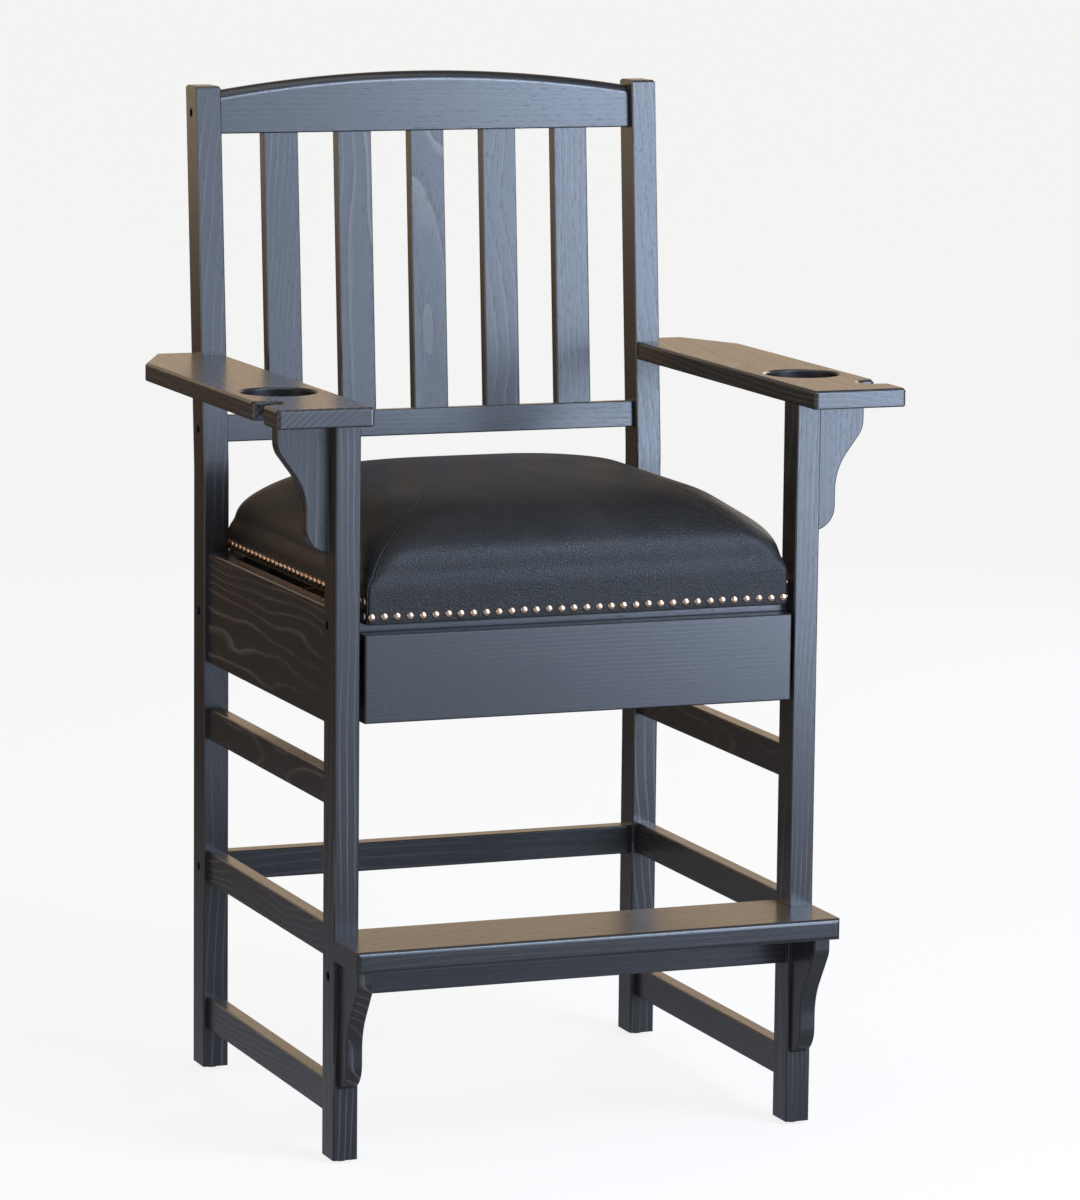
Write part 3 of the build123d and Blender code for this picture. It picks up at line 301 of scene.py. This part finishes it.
def crest_surface(count=81):
    """One closed section across the rail at each distance u from the middle: a flat foot with small arrises,
    straight sides, and a top at height end + arch (1 - (u / half)^2) rounded by two quarter ellipses.
    Sections are set along the back's rake."""
    along = np.linspace(-1, 1, count)[:, None]
    top = crest_end + crest_arch * (1 - along**2)
    wide, high = crest_front_round
    front_w, front_v = quarter_turn(wide - crest_half_thickness, -high, wide, high, 2)
    rear_w, rear_v = quarter_turn(
        crest_half_thickness - crest_back_round, -crest_back_round, crest_back_round, crest_back_round, 1
    )
    side, inset = crest_half_thickness, crest_half_thickness - crest_arris
    foot_w = np.array([side, inset, -inset, -side])
    foot_v = np.array([crest_arris, 0, 0, crest_arris])
    across = np.concatenate([front_w, rear_w, foot_w]) + 0 * along
    up = np.concatenate([top + front_v, top + rear_v, foot_v + 0 * along], axis=1) + crest_foot
    y = (back_core + across) * math.cos(rake) + up * math.sin(rake)
    z = bend_level + up * math.cos(rake) - (back_core + across) * math.sin(rake)
    return np.stack([crest_half * along + 0 * across, y, z], axis=-1)


def table_faces(index, close=False):
    """Quads of a table of point numbers, closed round its columns if asked."""
    if close:
        index = np.hstack([index, index[:, :1]])
    quads = np.stack([index[:-1, :-1], index[1:, :-1], index[1:, 1:], index[:-1, 1:]], axis=-1)
    return quads.reshape(-1, 4)


def grid_faces(rows, columns, close=False):
    """Quads of a grid of points stored row by row, closed round the columns if asked."""
    return table_faces(np.arange(rows * columns).reshape(rows, columns), close)


def new_piece(name, points, faces, material, smooth=True):
    """A mesh object at the origin from points in metres and faces."""
    mesh = bpy.data.meshes.new(name)
    mesh.from_pydata(points.tolist(), [], [list(map(int, face)) for face in faces])
    mesh.polygons.foreach_set("use_smooth", [smooth] * len(mesh.polygons))
    mesh.materials.append(material)
    mesh.update()
    made = bpy.data.objects.new(name, mesh)
    bpy.context.scene.collection.objects.link(made)
    return made


sections = crest_surface()
section_count, section_points = sections.shape[:2]
last_section = (section_count - 1) * section_points
crest_faces = [
    *grid_faces(section_count, section_points, close=True),
    np.arange(section_points),
    last_section + np.arange(section_points)[::-1],
]
crest_board = new_piece("crest_board", sections.reshape(-1, 3), crest_faces, crest_ash)
crest_board.data.set_sharp_from_angle(angle=math.radians(30))
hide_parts("crest_rail")
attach(crest_board, "frame")


# Footrest: a thick board with a round front edge, screwed down on the low front rail, on two shaped brackets.
# The board's grain runs across the chair and the brackets' grain runs up.
bracket_ash = black_ash("black_ash_brackets", grain_up, (0.31, 0.2, 0.1))
coat(ash_across, "footrest_board")
coat(bracket_ash, "footrest_bracket_left", "footrest_bracket_right")


# Arms: wide flat boards with a turned drink recess and a notch for a leaning cue, on shaped brackets.
# They are pegged to the legs and clipped round the posts, and their tops are worn the smoothest.
arm_ash = black_ash("black_ash_arms", grain_back, (-0.2, 0.1, -0.8), sway=0.05, edge=0.0028)
coat(arm_ash, "arm_left", "arm_right")
coat(bracket_ash, "arm_bracket_left", "arm_bracket_right")


# Seat board: birch plywood on the two seat rails, its front edge deepened by a strip, with corner blocks.
# The board and strip are bare wood, seen only from below, and the blocks are stained with the frame.
plywood_tones = ((0.56, 0.40, 0.23, 1), (0.40, 0.26, 0.13, 1))
inner_tones = ((0.60, 0.44, 0.27, 1), (0.44, 0.29, 0.16, 1))
beech_tones = ((0.62, 0.44, 0.28, 1), (0.47, 0.30, 0.17, 1))


def bare_wood(name, turn, pith, tones, ring_width=0.004, roughness=0.6):
    """Unstained wood with a faint figure between two tones."""
    made, tree, shader = new_material(name)
    inputs = {"Vector": grain_coordinates(tree, turn, pith), "Ring Width": ring_width, "Sway": 0.03}
    figure = group_in(tree, wood_figure, inputs)
    edges = group_in(tree, eased_edges, {"Radius": 0.0008})
    light, dark = tones
    tone = mixed(tree, work_out(tree, "MULTIPLY", figure["Rings"], 0.6), light, dark)
    tone = mixed(tree, work_out(tree, "MULTIPLY", figure["Pores"], 0.5), tone, dark)
    relief = bumped(tree, figure["Height"], 0.4, 0.0002, Normal=edges["Normal"])
    set_inputs(tree, shader, {
        "Base Color": tone,
        "Roughness": ramp(tree, figure["Fibre"], 0.2, 0.8, roughness - 0.08, roughness + 0.08),
        "Normal": relief,
    })
    return made


plywood = bare_wood("birch_plywood", grain_across, (0.0, 0.3, 0.9), plywood_tones, 0.012)
inner_wood = bare_wood("inner_wood", grain_across, (0.1, 0.2, 0.0), inner_tones)
coat(plywood, "seat_board")
coat(inner_wood, "seat_front_lip")
coat(
    bracket_ash,
    "corner_block_front_left",
    "corner_block_front_right",
    "corner_block_rear_left",
    "corner_block_rear_right",
)


# Seat cushion: black leather drawn tight over a domed foam pad and nailed round the edge of the board.
# It swells between the corners, where the cover is folded in a pleat. Its hem covers the front strip.
seat_middle = (0.0, 0.01706)
cushion_half = (0.2623, 0.2563)
hem_side = 0.646
hem_front = 0.628
front_strip_back = -0.2197
board_top = 0.6633
leather_thickness = 0.0020
free_from = 0.670
shoulder_level = 0.687
crown_level = 0.7685
side_swell = 0.0020
corner_low = 0.0063
corner_shoulder = 0.024
corner_crown = 0.090
grid_count = 90
grid_crowding = 1.75
dome_powers = (2.2, 2.5)
hem_turn = 0.0007
wall_shares = (0.8, 0.6, 0.4, 0.2)
cloth_frames = 20
cloth_pressure = 4.0
swell_cap = 0.006
swell_spread = 24
cushion_reach = 0.2660
crown_reach = 0.7755
leather_tone = (0.0075, 0.0068, 0.0065, 1)
leather_worn = (0.014, 0.0125, 0.0115, 1)
# Near-black colour for the pleat line: painted shade in the fold.
pleat_shade_tone = (0.0015, 0.0014, 0.0014, 1)
pleat_slope = 0.55
pleat_curve = 4.5
pleat_steepness = (7.0, 1.14)
pleat_reach = (0.118, 0.085)
pleat_half_width = (0.0011, 0.0002)
pleat_fold = 0.004


def plan(across, along, growth, radius):
    """A square of side 2 laid on the cushion's plan, with the squares about the middle rounded at their
    corners by arcs of the radius: past 1 - s of the way to a corner, s being radius over half side, a point
    turns on the arc through 45 degrees."""
    distance = np.maximum(np.abs(across), np.abs(along))
    safe = np.maximum(distance, 1e-9)
    share = np.clip(radius / (cushion_half[1] * safe), 1e-6, 1)
    minor = np.minimum(np.abs(across), np.abs(along)) / safe
    turn = np.pi / 4 * np.clip((minor - 1 + share) / share, 0, 1)
    far = distance * (1 - share + share * np.cos(turn))
    near = distance * (np.minimum(minor, 1 - share) + share * np.sin(turn))
    sideways = np.abs(across) >= np.abs(along)
    x = seat_middle[0] + (cushion_half[0] + growth) * np.sign(across) * np.where(sideways, far, near)
    y = seat_middle[1] + (cushion_half[1] + growth) * np.sign(along) * np.where(sideways, near, far)
    return x, y


def dome_grid(across, along, low, high, growth, corners):
    """The plan as a dome, or flat: square distance c from the middle stands at height share
    h = (1 - c^p)^(1/q) from low to high, p and q being the dome powers. The corner radius goes from the
    first to the second with h."""
    distance = np.maximum(np.abs(across), np.abs(along))
    height = (1 - distance ** dome_powers[0]) ** (1 / dome_powers[1])
    x, y = plan(across, along, growth, corners[0] + (corners[1] - corners[0]) * height)
    return np.stack([x, y, low + (high - low) * height], axis=-1)


line = np.linspace(-1, 1, grid_count + 1)
line = np.sign(line) * (1 - (1 - np.abs(line)) ** grid_crowding)
across, along = np.meshgrid(line, line, indexing="ij")
top = dome_grid(across, along, shoulder_level, crown_level, side_swell, (corner_shoulder, corner_crown))
inner_corner = corner_low - leather_thickness
underside = dome_grid(across, along, board_top, board_top, -leather_thickness, (inner_corner, inner_corner))
side = np.arange(grid_count)
border = np.concatenate([
    np.stack([side, np.zeros_like(side)], 1),
    np.stack([np.full_like(side, grid_count), side], 1),
    np.stack([grid_count - side, np.full_like(side, grid_count)], 1),
    np.stack([np.zeros_like(side), grid_count - side], 1),
])
edge = line[border]
hem = np.where(top[border[:, 0], border[:, 1], 1] < front_strip_back + 0.004, hem_front, hem_side)


def wall_row(share, growth, low=free_from, high=shoulder_level, radius=corner_low):
    """The cushion's outline a share of the way between two heights, grown past the nailed cover."""
    x, y = plan(edge[:, 0], edge[:, 1], growth, radius)
    return np.stack([x, y, low + (high - low) * share + 0 * x], axis=-1)


wall = []
for share in (*wall_shares, 0.0):
    rounding = corner_low + (corner_shoulder - corner_low) * share
    wall.append(wall_row(share, side_swell * share * (2 - share), radius=rounding))
wall += [wall_row(share, 0, hem + hem_turn, free_from) for share in (0.75, 0.5, 0.25, 0.0)]
wall += [wall_row(0, growth, hem, hem) for growth in (-hem_turn, hem_turn - leather_thickness)]
wall += [
    wall_row(share, -leather_thickness, hem + hem_turn, board_top, inner_corner) for share in (0.0, 0.5)
]
top_count = top.shape[0] * top.shape[1]
column_count = len(border)
under_start = top_count + len(wall) * column_count
ring_index = np.vstack([
    border[:, 0] * (grid_count + 1) + border[:, 1],
    top_count + np.arange(len(wall) * column_count).reshape(len(wall), column_count),
    under_start + border[:, 0] * (grid_count + 1) + border[:, 1],
])
wall_faces = table_faces(ring_index, close=True)
top_faces = grid_faces(grid_count + 1, grid_count + 1)
under_faces = top_faces[:, ::-1] + under_start
cushion_points = np.vstack([top.reshape(-1, 3), *wall, underside.reshape(-1, 3)])
cushion_faces = [*top_faces, *wall_faces, *under_faces]

leather, tree, shader = new_material("black_leather")
place = object_place(tree)
pebbles = add_node(
    tree, "ShaderNodeTexVoronoi", {"Vector": place, "Scale": 460.0, "Randomness": 0.9}, feature="SMOOTH_F1"
).outputs["Distance"]
creases = add_node(
    tree, "ShaderNodeTexVoronoi", {"Vector": place, "Scale": 330.0}, feature="DISTANCE_TO_EDGE"
).outputs["Distance"]
hide = even_speckle(tree, place, 14.0, 4.0)
soft_wear = even_speckle(tree, place, 60.0, 3.0)
# The pleat at each corner runs in from it along y = slope x + curve x^2 in plan and dies out over its reach.
split = add_node(tree, "ShaderNodeSeparateXYZ", {0: place}).outputs
in_x = work_out(tree, "SUBTRACT", cushion_half[0], work_out(tree, "ABSOLUTE", split["X"]))
from_middle = work_out(tree, "ABSOLUTE", work_out(tree, "SUBTRACT", split["Y"], seat_middle[1]))
in_y = work_out(tree, "SUBTRACT", cushion_half[1], from_middle)
slope = work_out(tree, "MULTIPLY_ADD", in_x, pleat_curve, pleat_slope)
bend = work_out(tree, "SUBTRACT", in_y, work_out(tree, "MULTIPLY", in_x, slope))
off_line = work_out(tree, "DIVIDE", bend, work_out(tree, "MULTIPLY_ADD", in_x, *pleat_steepness))
fades = ramp(tree, in_x, *pleat_reach)
crease = ramp(tree, work_out(tree, "ABSOLUTE", off_line), *pleat_half_width)
pleat = work_out(tree, "MULTIPLY", fades, crease)
fold = work_out(tree, "MULTIPLY", fades, ramp(tree, off_line, -pleat_fold, pleat_fold))
grain = work_out(tree, "MULTIPLY_ADD", ramp(tree, creases, 0.0, 0.12), 0.55, pebbles)
grain = work_out(tree, "MULTIPLY_ADD", pleat, -4.0, work_out(tree, "MULTIPLY_ADD", fold, 3.0, grain))
relief = bumped(tree, grain, 0.8, 0.00045)
tone = mixed(tree, ramp(tree, hide, 0.4, 0.75), leather_tone, leather_worn)
# The pleat line is painted darker than the leather: painted shade in the fold, beside its bump.
tone = mixed(tree, pleat, tone, pleat_shade_tone)
gloss = work_out(tree, "MULTIPLY_ADD", soft_wear, 0.08, ramp(tree, hide, 0.3, 0.7, 0.37, 0.43))
set_inputs(tree, shader, {
    "Base Color": tone,
    "Roughness": gloss,
    "Normal": relief,
    "IOR": 1.5,
    "Specular IOR Level": 0.42,
})

seat_cushion = new_piece("seat_cushion", cushion_points, cushion_faces, leather)
started = cushion_points.copy()
held = seat_cushion.vertex_groups.new(name="held")
held.add(np.flatnonzero(started[:, 2] < free_from + 0.0005).tolist(), 1.0, "REPLACE")
cloth = seat_cushion.modifiers.new("swell", "CLOTH")
cloth.settings.vertex_group_mass = "held"
cloth.settings.use_pressure = True
cloth.settings.uniform_pressure_force = cloth_pressure
cloth.settings.tension_stiffness = 60
cloth.settings.bending_stiffness = 3
cloth.settings.effector_weights.gravity = 0
cloth.collision_settings.use_collision = False
cloth.point_cache.frame_start = 1
cloth.point_cache.frame_end = cloth_frames
for step in range(1, cloth_frames + 1):
    bpy.context.scene.frame_set(step)
graph = bpy.context.evaluated_depsgraph_get()
swollen = np.empty(len(started) * 3, np.float32)
seat_cushion.evaluated_get(graph).data.vertices.foreach_get("co", swollen)
seat_cushion.modifiers.clear()
bpy.context.scene.frame_set(1)
shift = swollen.reshape(-1, 3) - started
length = np.linalg.norm(shift, axis=1, keepdims=True)
shift *= np.minimum(1, swell_cap / np.maximum(length, 1e-9))
spread = shift[:top_count].reshape(top.shape)
for step in range(swell_spread):
    wide = np.pad(spread, ((1, 1), (1, 1), (0, 0)), mode="edge")
    spread = (wide[:-2, 1:-1] + wide[2:, 1:-1] + wide[1:-1, :-2] + wide[1:-1, 2:] + 4 * spread) / 8
shift[:top_count] = spread.reshape(-1, 3)
for row, share in enumerate(wall_shares):
    first = top_count + row * column_count
    shift[first:first + column_count] = share * spread[border[:, 0], border[:, 1]]
settled = started + shift
settled[:, 0] = np.clip(settled[:, 0], -cushion_reach, cushion_reach)
settled[:, 2] = np.minimum(settled[:, 2], crown_reach)
seat_cushion.data.vertices.foreach_set("co", settled.astype(np.float32).ravel())
seat_cushion.data.update()
smooth_over = seat_cushion.modifiers.new("smooth_over", "SUBSURF")
smooth_over.levels = 1
smooth_over.render_levels = 1
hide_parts("seat_leather", "seat_foam")
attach(seat_cushion, "frame")


# Nail trim: pressed brass nailheads, polished, driven through the hem in a row along each edge of the seat.
# The front row stands on the deepened strip, with one more nail round each front corner.
nail_radius = 0.00475
nail_height = 0.0026
nail_pitch = 0.0155
nail_unevenness = 0.0004
front_nails = 34
side_nails = 33
front_row = (-0.2392, 0.637)
rear_row = (0.2734, 0.654)
side_row = (0.2623, 0.654)
side_row_start = -0.2302
nail_tone = (0.80, 0.55, 0.37, 1)
nail_shade = (0.34, 0.20, 0.11, 1)


def nail_dome(rings=4, sides=12):
    """A low dome on a thin rolled rim: radius R cos(t)^0.85 and height h sin(t), t from 0 to 90 degrees."""
    turn = np.linspace(0, 2 * np.pi, sides, endpoint=False)
    rise = np.linspace(0, np.pi / 2, rings + 1)[:-1, None]
    reach = nail_radius * np.cos(rise) ** 0.85
    shell = np.stack([reach * np.cos(turn), reach * np.sin(turn), nail_height * np.sin(rise) + 0 * turn], -1)
    foot = np.stack([nail_radius * np.cos(turn), nail_radius * np.sin(turn), 0 * turn - 0.0002], -1)
    points = np.vstack([foot, shell.reshape(-1, 3), [[0, 0, nail_height]]])
    quads = grid_faces(rings + 1, sides, close=True)[:, ::-1]
    last = rings * sides + np.arange(sides)
    cap = np.stack([last, np.roll(last, -1), np.full(sides, len(points) - 1)], 1)
    return points, [*quads, *cap, np.arange(sides)[::-1]]


def facing(direction):
    """The turn that brings Z to a direction square to it and to the vertical."""
    out = np.array(direction, float)
    across = np.cross([0, 0, 1], out)
    return np.stack([across, [0, 0, 1], out], axis=1)


hand = np.random.default_rng(11)
front_xs = nail_pitch * (np.arange(front_nails) - (front_nails - 1) / 2)
side_ys = side_row_start + nail_pitch * np.arange(side_nails)
rows = []
for xs, ys, z, direction in (
    (front_xs, front_row[0], front_row[1], (0, -1, 0)),
    (front_xs, rear_row[0], rear_row[1], (0, 1, 0)),
    (side_row[0], side_ys, side_row[1], (1, 0, 0)),
    (-side_row[0], side_ys, side_row[1], (-1, 0, 0)),
    (side_row[0], side_ys[:1], front_row[1], (1, 0, 0)),
    (-side_row[0], side_ys[:1], front_row[1], (-1, 0, 0)),
):
    spots = np.stack(np.broadcast_arrays(xs, ys, z), -1).astype(float)
    uneven = hand.uniform(-nail_unevenness, nail_unevenness, spots.shape) * (np.array(direction) == 0)
    rows.append((spots + uneven, facing(direction)))
dome_points, dome_faces = nail_dome()
nail_points = np.vstack([
    (spots[:, None] + dome_points @ turn.T).reshape(-1, 3) for spots, turn in rows
])
nail_count = len(nail_points) // len(dome_points)
nail_faces = [
    face + step * len(dome_points) for step in range(nail_count) for face in dome_faces
]

brass, tree, shader = new_material("rolled_brass")
place = object_place(tree)
tarnish = even_speckle(tree, place, 260.0, 4.0)
scuffs = even_speckle(tree, place, 2400.0, 2.0)
relief = bumped(tree, scuffs, 0.15, 0.0001)
set_inputs(tree, shader, {
    "Base Color": mixed(tree, ramp(tree, tarnish, 0.5, 0.8, 0.0, 0.6), nail_tone, nail_shade),
    "Metallic": 1.0,
    "Roughness": ramp(tree, tarnish, 0.3, 0.7, 0.16, 0.3),
    "Normal": relief,
})
seat_nails = new_piece("seat_nails", nail_points, nail_faces, brass)
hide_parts("seat_nailheads")
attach(seat_nails, "frame")


# Drawer: a pale inner box rabbeted together with a thin bottom in a groove, behind a black ash front.
# It slides on two runners screwed to the aprons, and has no pull but the lower edge of its front.
front_pith = (-0.56, -0.12, 0.3)
front_ash = black_ash("black_ash_drawer", grain_across, front_pith, 0.005, sway=0.02, clear=0.3)
box_wood = bare_wood("drawer_box_wood", grain_across, (0.56, 0.1, 0.2), inner_tones, 0.005, 0.5)
side_wood = bare_wood("drawer_side_wood", grain_back, (-0.1, -0.5, 0.2), inner_tones, 0.005, 0.5)
runner_wood = bare_wood("runner_wood", grain_back, (-0.1, 0.1, 0.2), beech_tones)
coat(front_ash, "drawer_front")
coat(box_wood, "drawer_box_front", "drawer_back", "drawer_bottom")
coat(side_wood, "drawer_side_left", "drawer_side_right")
coat(runner_wood, "drawer_runner_left", "drawer_runner_right")


# Hardware: blackened socket bolts with cross-dowel nuts, zinc screws, beech dowels and pegs, plastic glides.
# All of it sits inside the joints, and only bolt heads, a few screw heads and the glides show.
def plain_metal(name, tone, low, high):
    """Bare fastener steel with fine turning marks."""
    made, tree, shader = new_material(name)
    place = object_place(tree)
    marks = even_speckle(tree, place, 900.0, 3.0)
    relief = bumped(tree, marks, 0.2, 0.0001)
    dull = tuple(0.6 * part for part in tone[:3]) + (1,)
    set_inputs(tree, shader, {
        "Base Color": mixed(tree, ramp(tree, marks, 0.3, 0.8), tone, dull),
        "Metallic": 1.0,
        "Roughness": ramp(tree, marks, 0.3, 0.7, low, high),
        "Normal": relief,
    })
    return made


blackened = plain_metal("blackened_steel", (0.06, 0.06, 0.065, 1), 0.35, 0.5)
zinc = plain_metal("zinc_plate", (0.55, 0.55, 0.56, 1), 0.25, 0.4)
beech = bare_wood("beech_pegs", grain_across, (0.1, 0.1, 0.1), beech_tones, 0.003)
coat(blackened, "frame_bolts")
coat(zinc, "barrel_nuts", "footrest_screws", "seat_screws", "runner_screws", "drawer_front_screws")
coat(beech, "rail_dowels", "arm_pegs", "arm_bracket_pegs", "footrest_bracket_pegs")

glide_plastic, tree, shader = new_material("glide_plastic")
place = object_place(tree)
moulded = even_speckle(tree, place, 1500.0, 2.0)
relief = bumped(tree, moulded, 0.3, 0.0001)
set_inputs(tree, shader, {
    "Base Color": mixed(tree, moulded, (0.012, 0.012, 0.012, 1), (0.03, 0.03, 0.03, 1)),
    "Roughness": ramp(tree, moulded, 0.3, 0.7, 0.45, 0.6),
    "Normal": relief,
})
coat(glide_plastic, "leg_glides")


# Studio: a white floor that keeps the chair's shadow, cool window light from the front and the right, a weak
# warm fill from the left and soft light above. Lacquer and brass mirror a dim room that only reflections see.
window_tone = (0.61, 0.75, 1.0)
fill_tone = (1.0, 0.86, 0.72)
floor_reach = 40.0
room_reach = 10.0


def stage_material(name):
    """An empty material for a piece of the studio, with its output."""
    made = bpy.data.materials.new(name)
    made.use_nodes = True
    tree = made.node_tree
    tree.nodes.remove(tree.nodes["Principled BSDF"])
    return made, tree, tree.nodes["Material Output"]


def seen_directly(tree):
    """One where a camera, mirror or glass ray looks, and zero where light is gathered."""
    path = add_node(tree, "ShaderNodeLightPath").outputs
    seen = work_out(tree, "MAXIMUM", path["Is Camera Ray"], path["Is Glossy Ray"])
    return work_out(tree, "MAXIMUM", seen, path["Is Transmission Ray"])


white_floor, tree, output = stage_material("white_floor")
matt = add_node(tree, "ShaderNodeBsdfDiffuse", {"Color": (0.95, 0.95, 0.95, 1)}).outputs[0]
bright = add_node(tree, "ShaderNodeEmission", {"Color": (1, 1, 1, 1), "Strength": 1.0}).outputs[0]
share = work_out(tree, "MULTIPLY", seen_directly(tree), 0.84)
surface = add_node(tree, "ShaderNodeMixShader", {0: share, 1: matt, 2: bright}).outputs[0]
set_inputs(tree, output, {"Surface": surface})
corners = floor_reach * np.array([[-1, -1, 0], [1, -1, 0], [1, 1, 0], [-1, 1, 0]], float)
floor = new_piece("studio_floor", corners, [[0, 1, 2, 3]], white_floor, smooth=False)
white_floor.cycles.emission_sampling = "NONE"

world = bpy.data.worlds.new("studio_air")
bpy.context.scene.world = world
world.use_nodes = True
tree = world.node_tree
air = tree.nodes["Background"]
set_inputs(tree, air, {"Color": (1.0, 0.97, 0.93, 1), "Strength": 0.42})
white = add_node(tree, "ShaderNodeBackground", {"Color": (1, 1, 1, 1), "Strength": 1.0}).outputs[0]
airs = {0: seen_directly(tree), 1: air.outputs[0], 2: white}
shown = add_node(tree, "ShaderNodeMixShader", airs).outputs[0]
set_inputs(tree, tree.nodes["World Output"], {"Surface": shown})


def room_shell(rows=24, columns=48):
    """A hemisphere of the room's reach, closed by a flat floor a hair above the white one."""
    rise = np.linspace(0, np.pi / 2, rows)[:, None]
    turn = np.linspace(0, 2 * np.pi, columns, endpoint=False)
    dome = np.stack([np.cos(rise) * np.cos(turn), np.cos(rise) * np.sin(turn), np.sin(rise) + 0 * turn], -1)
    dome = room_reach * dome.reshape(-1, 3) + [0, 0, 0.0005]
    faces = [*grid_faces(rows, columns, close=True), np.arange(columns)]
    return dome, faces


dim_room, tree, output = stage_material("dim_room")
place = object_place(tree)
split = add_node(tree, "ShaderNodeSeparateXYZ", {0: place}).outputs
low_wall = ramp(tree, split["Z"], 0.002, 0.6)
high_wall = ramp(tree, split["Z"], 2.2, 7.0)
behind = ramp(tree, split["Y"], -3.0, 3.0)
tone = mixed(tree, low_wall, (0.05, 0.036, 0.029, 1), (0.70, 0.53, 0.37, 1))
tone = mixed(tree, high_wall, tone, (0.10, 0.09, 0.085, 1))
tone = mixed(tree, behind, (0.34, 0.38, 0.47, 1), tone)
glow = add_node(tree, "ShaderNodeEmission", {"Color": tone, "Strength": 1.0}).outputs[0]
set_inputs(tree, output, {"Surface": glow})
room = new_piece("studio_room", *room_shell(), dim_room, smooth=False)
for ray in ("camera", "diffuse", "transmission", "shadow", "volume_scatter"):
    setattr(room, f"visible_{ray}", False)
dim_room.cycles.emission_sampling = "NONE"


def soft_light(name, place, aim, size, strength, tone):
    """A rectangular soft light at a place, turned to an aim, as bright as a surface of that strength."""
    lamp = bpy.data.lights.new(name, "AREA")
    lamp.shape = "RECTANGLE"
    lamp.size, lamp.size_y = size
    lamp.energy = strength * math.pi * size[0] * size[1]
    lamp.color = tone
    made = bpy.data.objects.new(name, lamp)
    bpy.context.scene.collection.objects.link(made)
    made.location = place
    made.rotation_euler = (Vector(aim) - Vector(place)).to_track_quat("-Z", "Y").to_euler()
    made.visible_camera = False


soft_light("window_light", (2.07, -2.745, 1.2), (0.12, 0.08, 0.95), (1.6, 2.5), 7.8, window_tone)
soft_light("front_light", (0.88, -3.567, 1.2), (0.0, 0.0, 0.95), (1.3, 2.5), 1.5, window_tone)
soft_light("high_light", (1.4, -2.5, 3.0), (0.0, 0.0, 0.7), (1.9, 0.8), 16.0, window_tone)
soft_light("top_light", (-0.2, 0.2, 3.6), (0.0, 0.0, 0.8), (2.0, 2.0), 0.8, (1.0, 0.97, 0.93))
soft_light("fill_light", (-3.2, -0.8, 1.3), (0.0, 0.0, 0.7), (1.4, 1.6), 1.6, fill_tone)
soft_light("rear_light", (3.0, 2.4, 1.9), (0.0, 0.0, 0.7), (2.0, 2.0), 1.8, (1.0, 0.97, 0.93))

# Camera: the photograph's view, from the front left and a little above, through a long lens.
photo_height = 1200
focal_pixels = 5642
film_height = 36.0
camera_place = (-2.38735, -6.22534, 1.64947)
yaw, pitch, roll = 0.3722, 0.1546, -0.0105
ahead = Vector((math.sin(yaw) * math.cos(pitch), math.cos(yaw) * math.cos(pitch), -math.sin(pitch)))
right = Vector((math.cos(yaw), -math.sin(yaw), 0))
down = ahead.cross(right)
rolled_right = math.cos(roll) * right + math.sin(roll) * down
rolled_up = -(math.cos(roll) * down - math.sin(roll) * right)
lens = bpy.data.cameras.new("photo_camera")
lens.sensor_width = film_height
lens.lens = focal_pixels / photo_height * film_height
lens.clip_end = 100.0
camera = bpy.data.objects.new("photo_camera", lens)
bpy.context.scene.collection.objects.link(camera)
camera.matrix_world = Matrix.Translation(camera_place) @ Matrix(
    (rolled_right, rolled_up, -ahead)
).transposed().to_4x4()
bpy.context.scene.camera = camera
bpy.context.scene.view_settings.view_transform = "Standard"
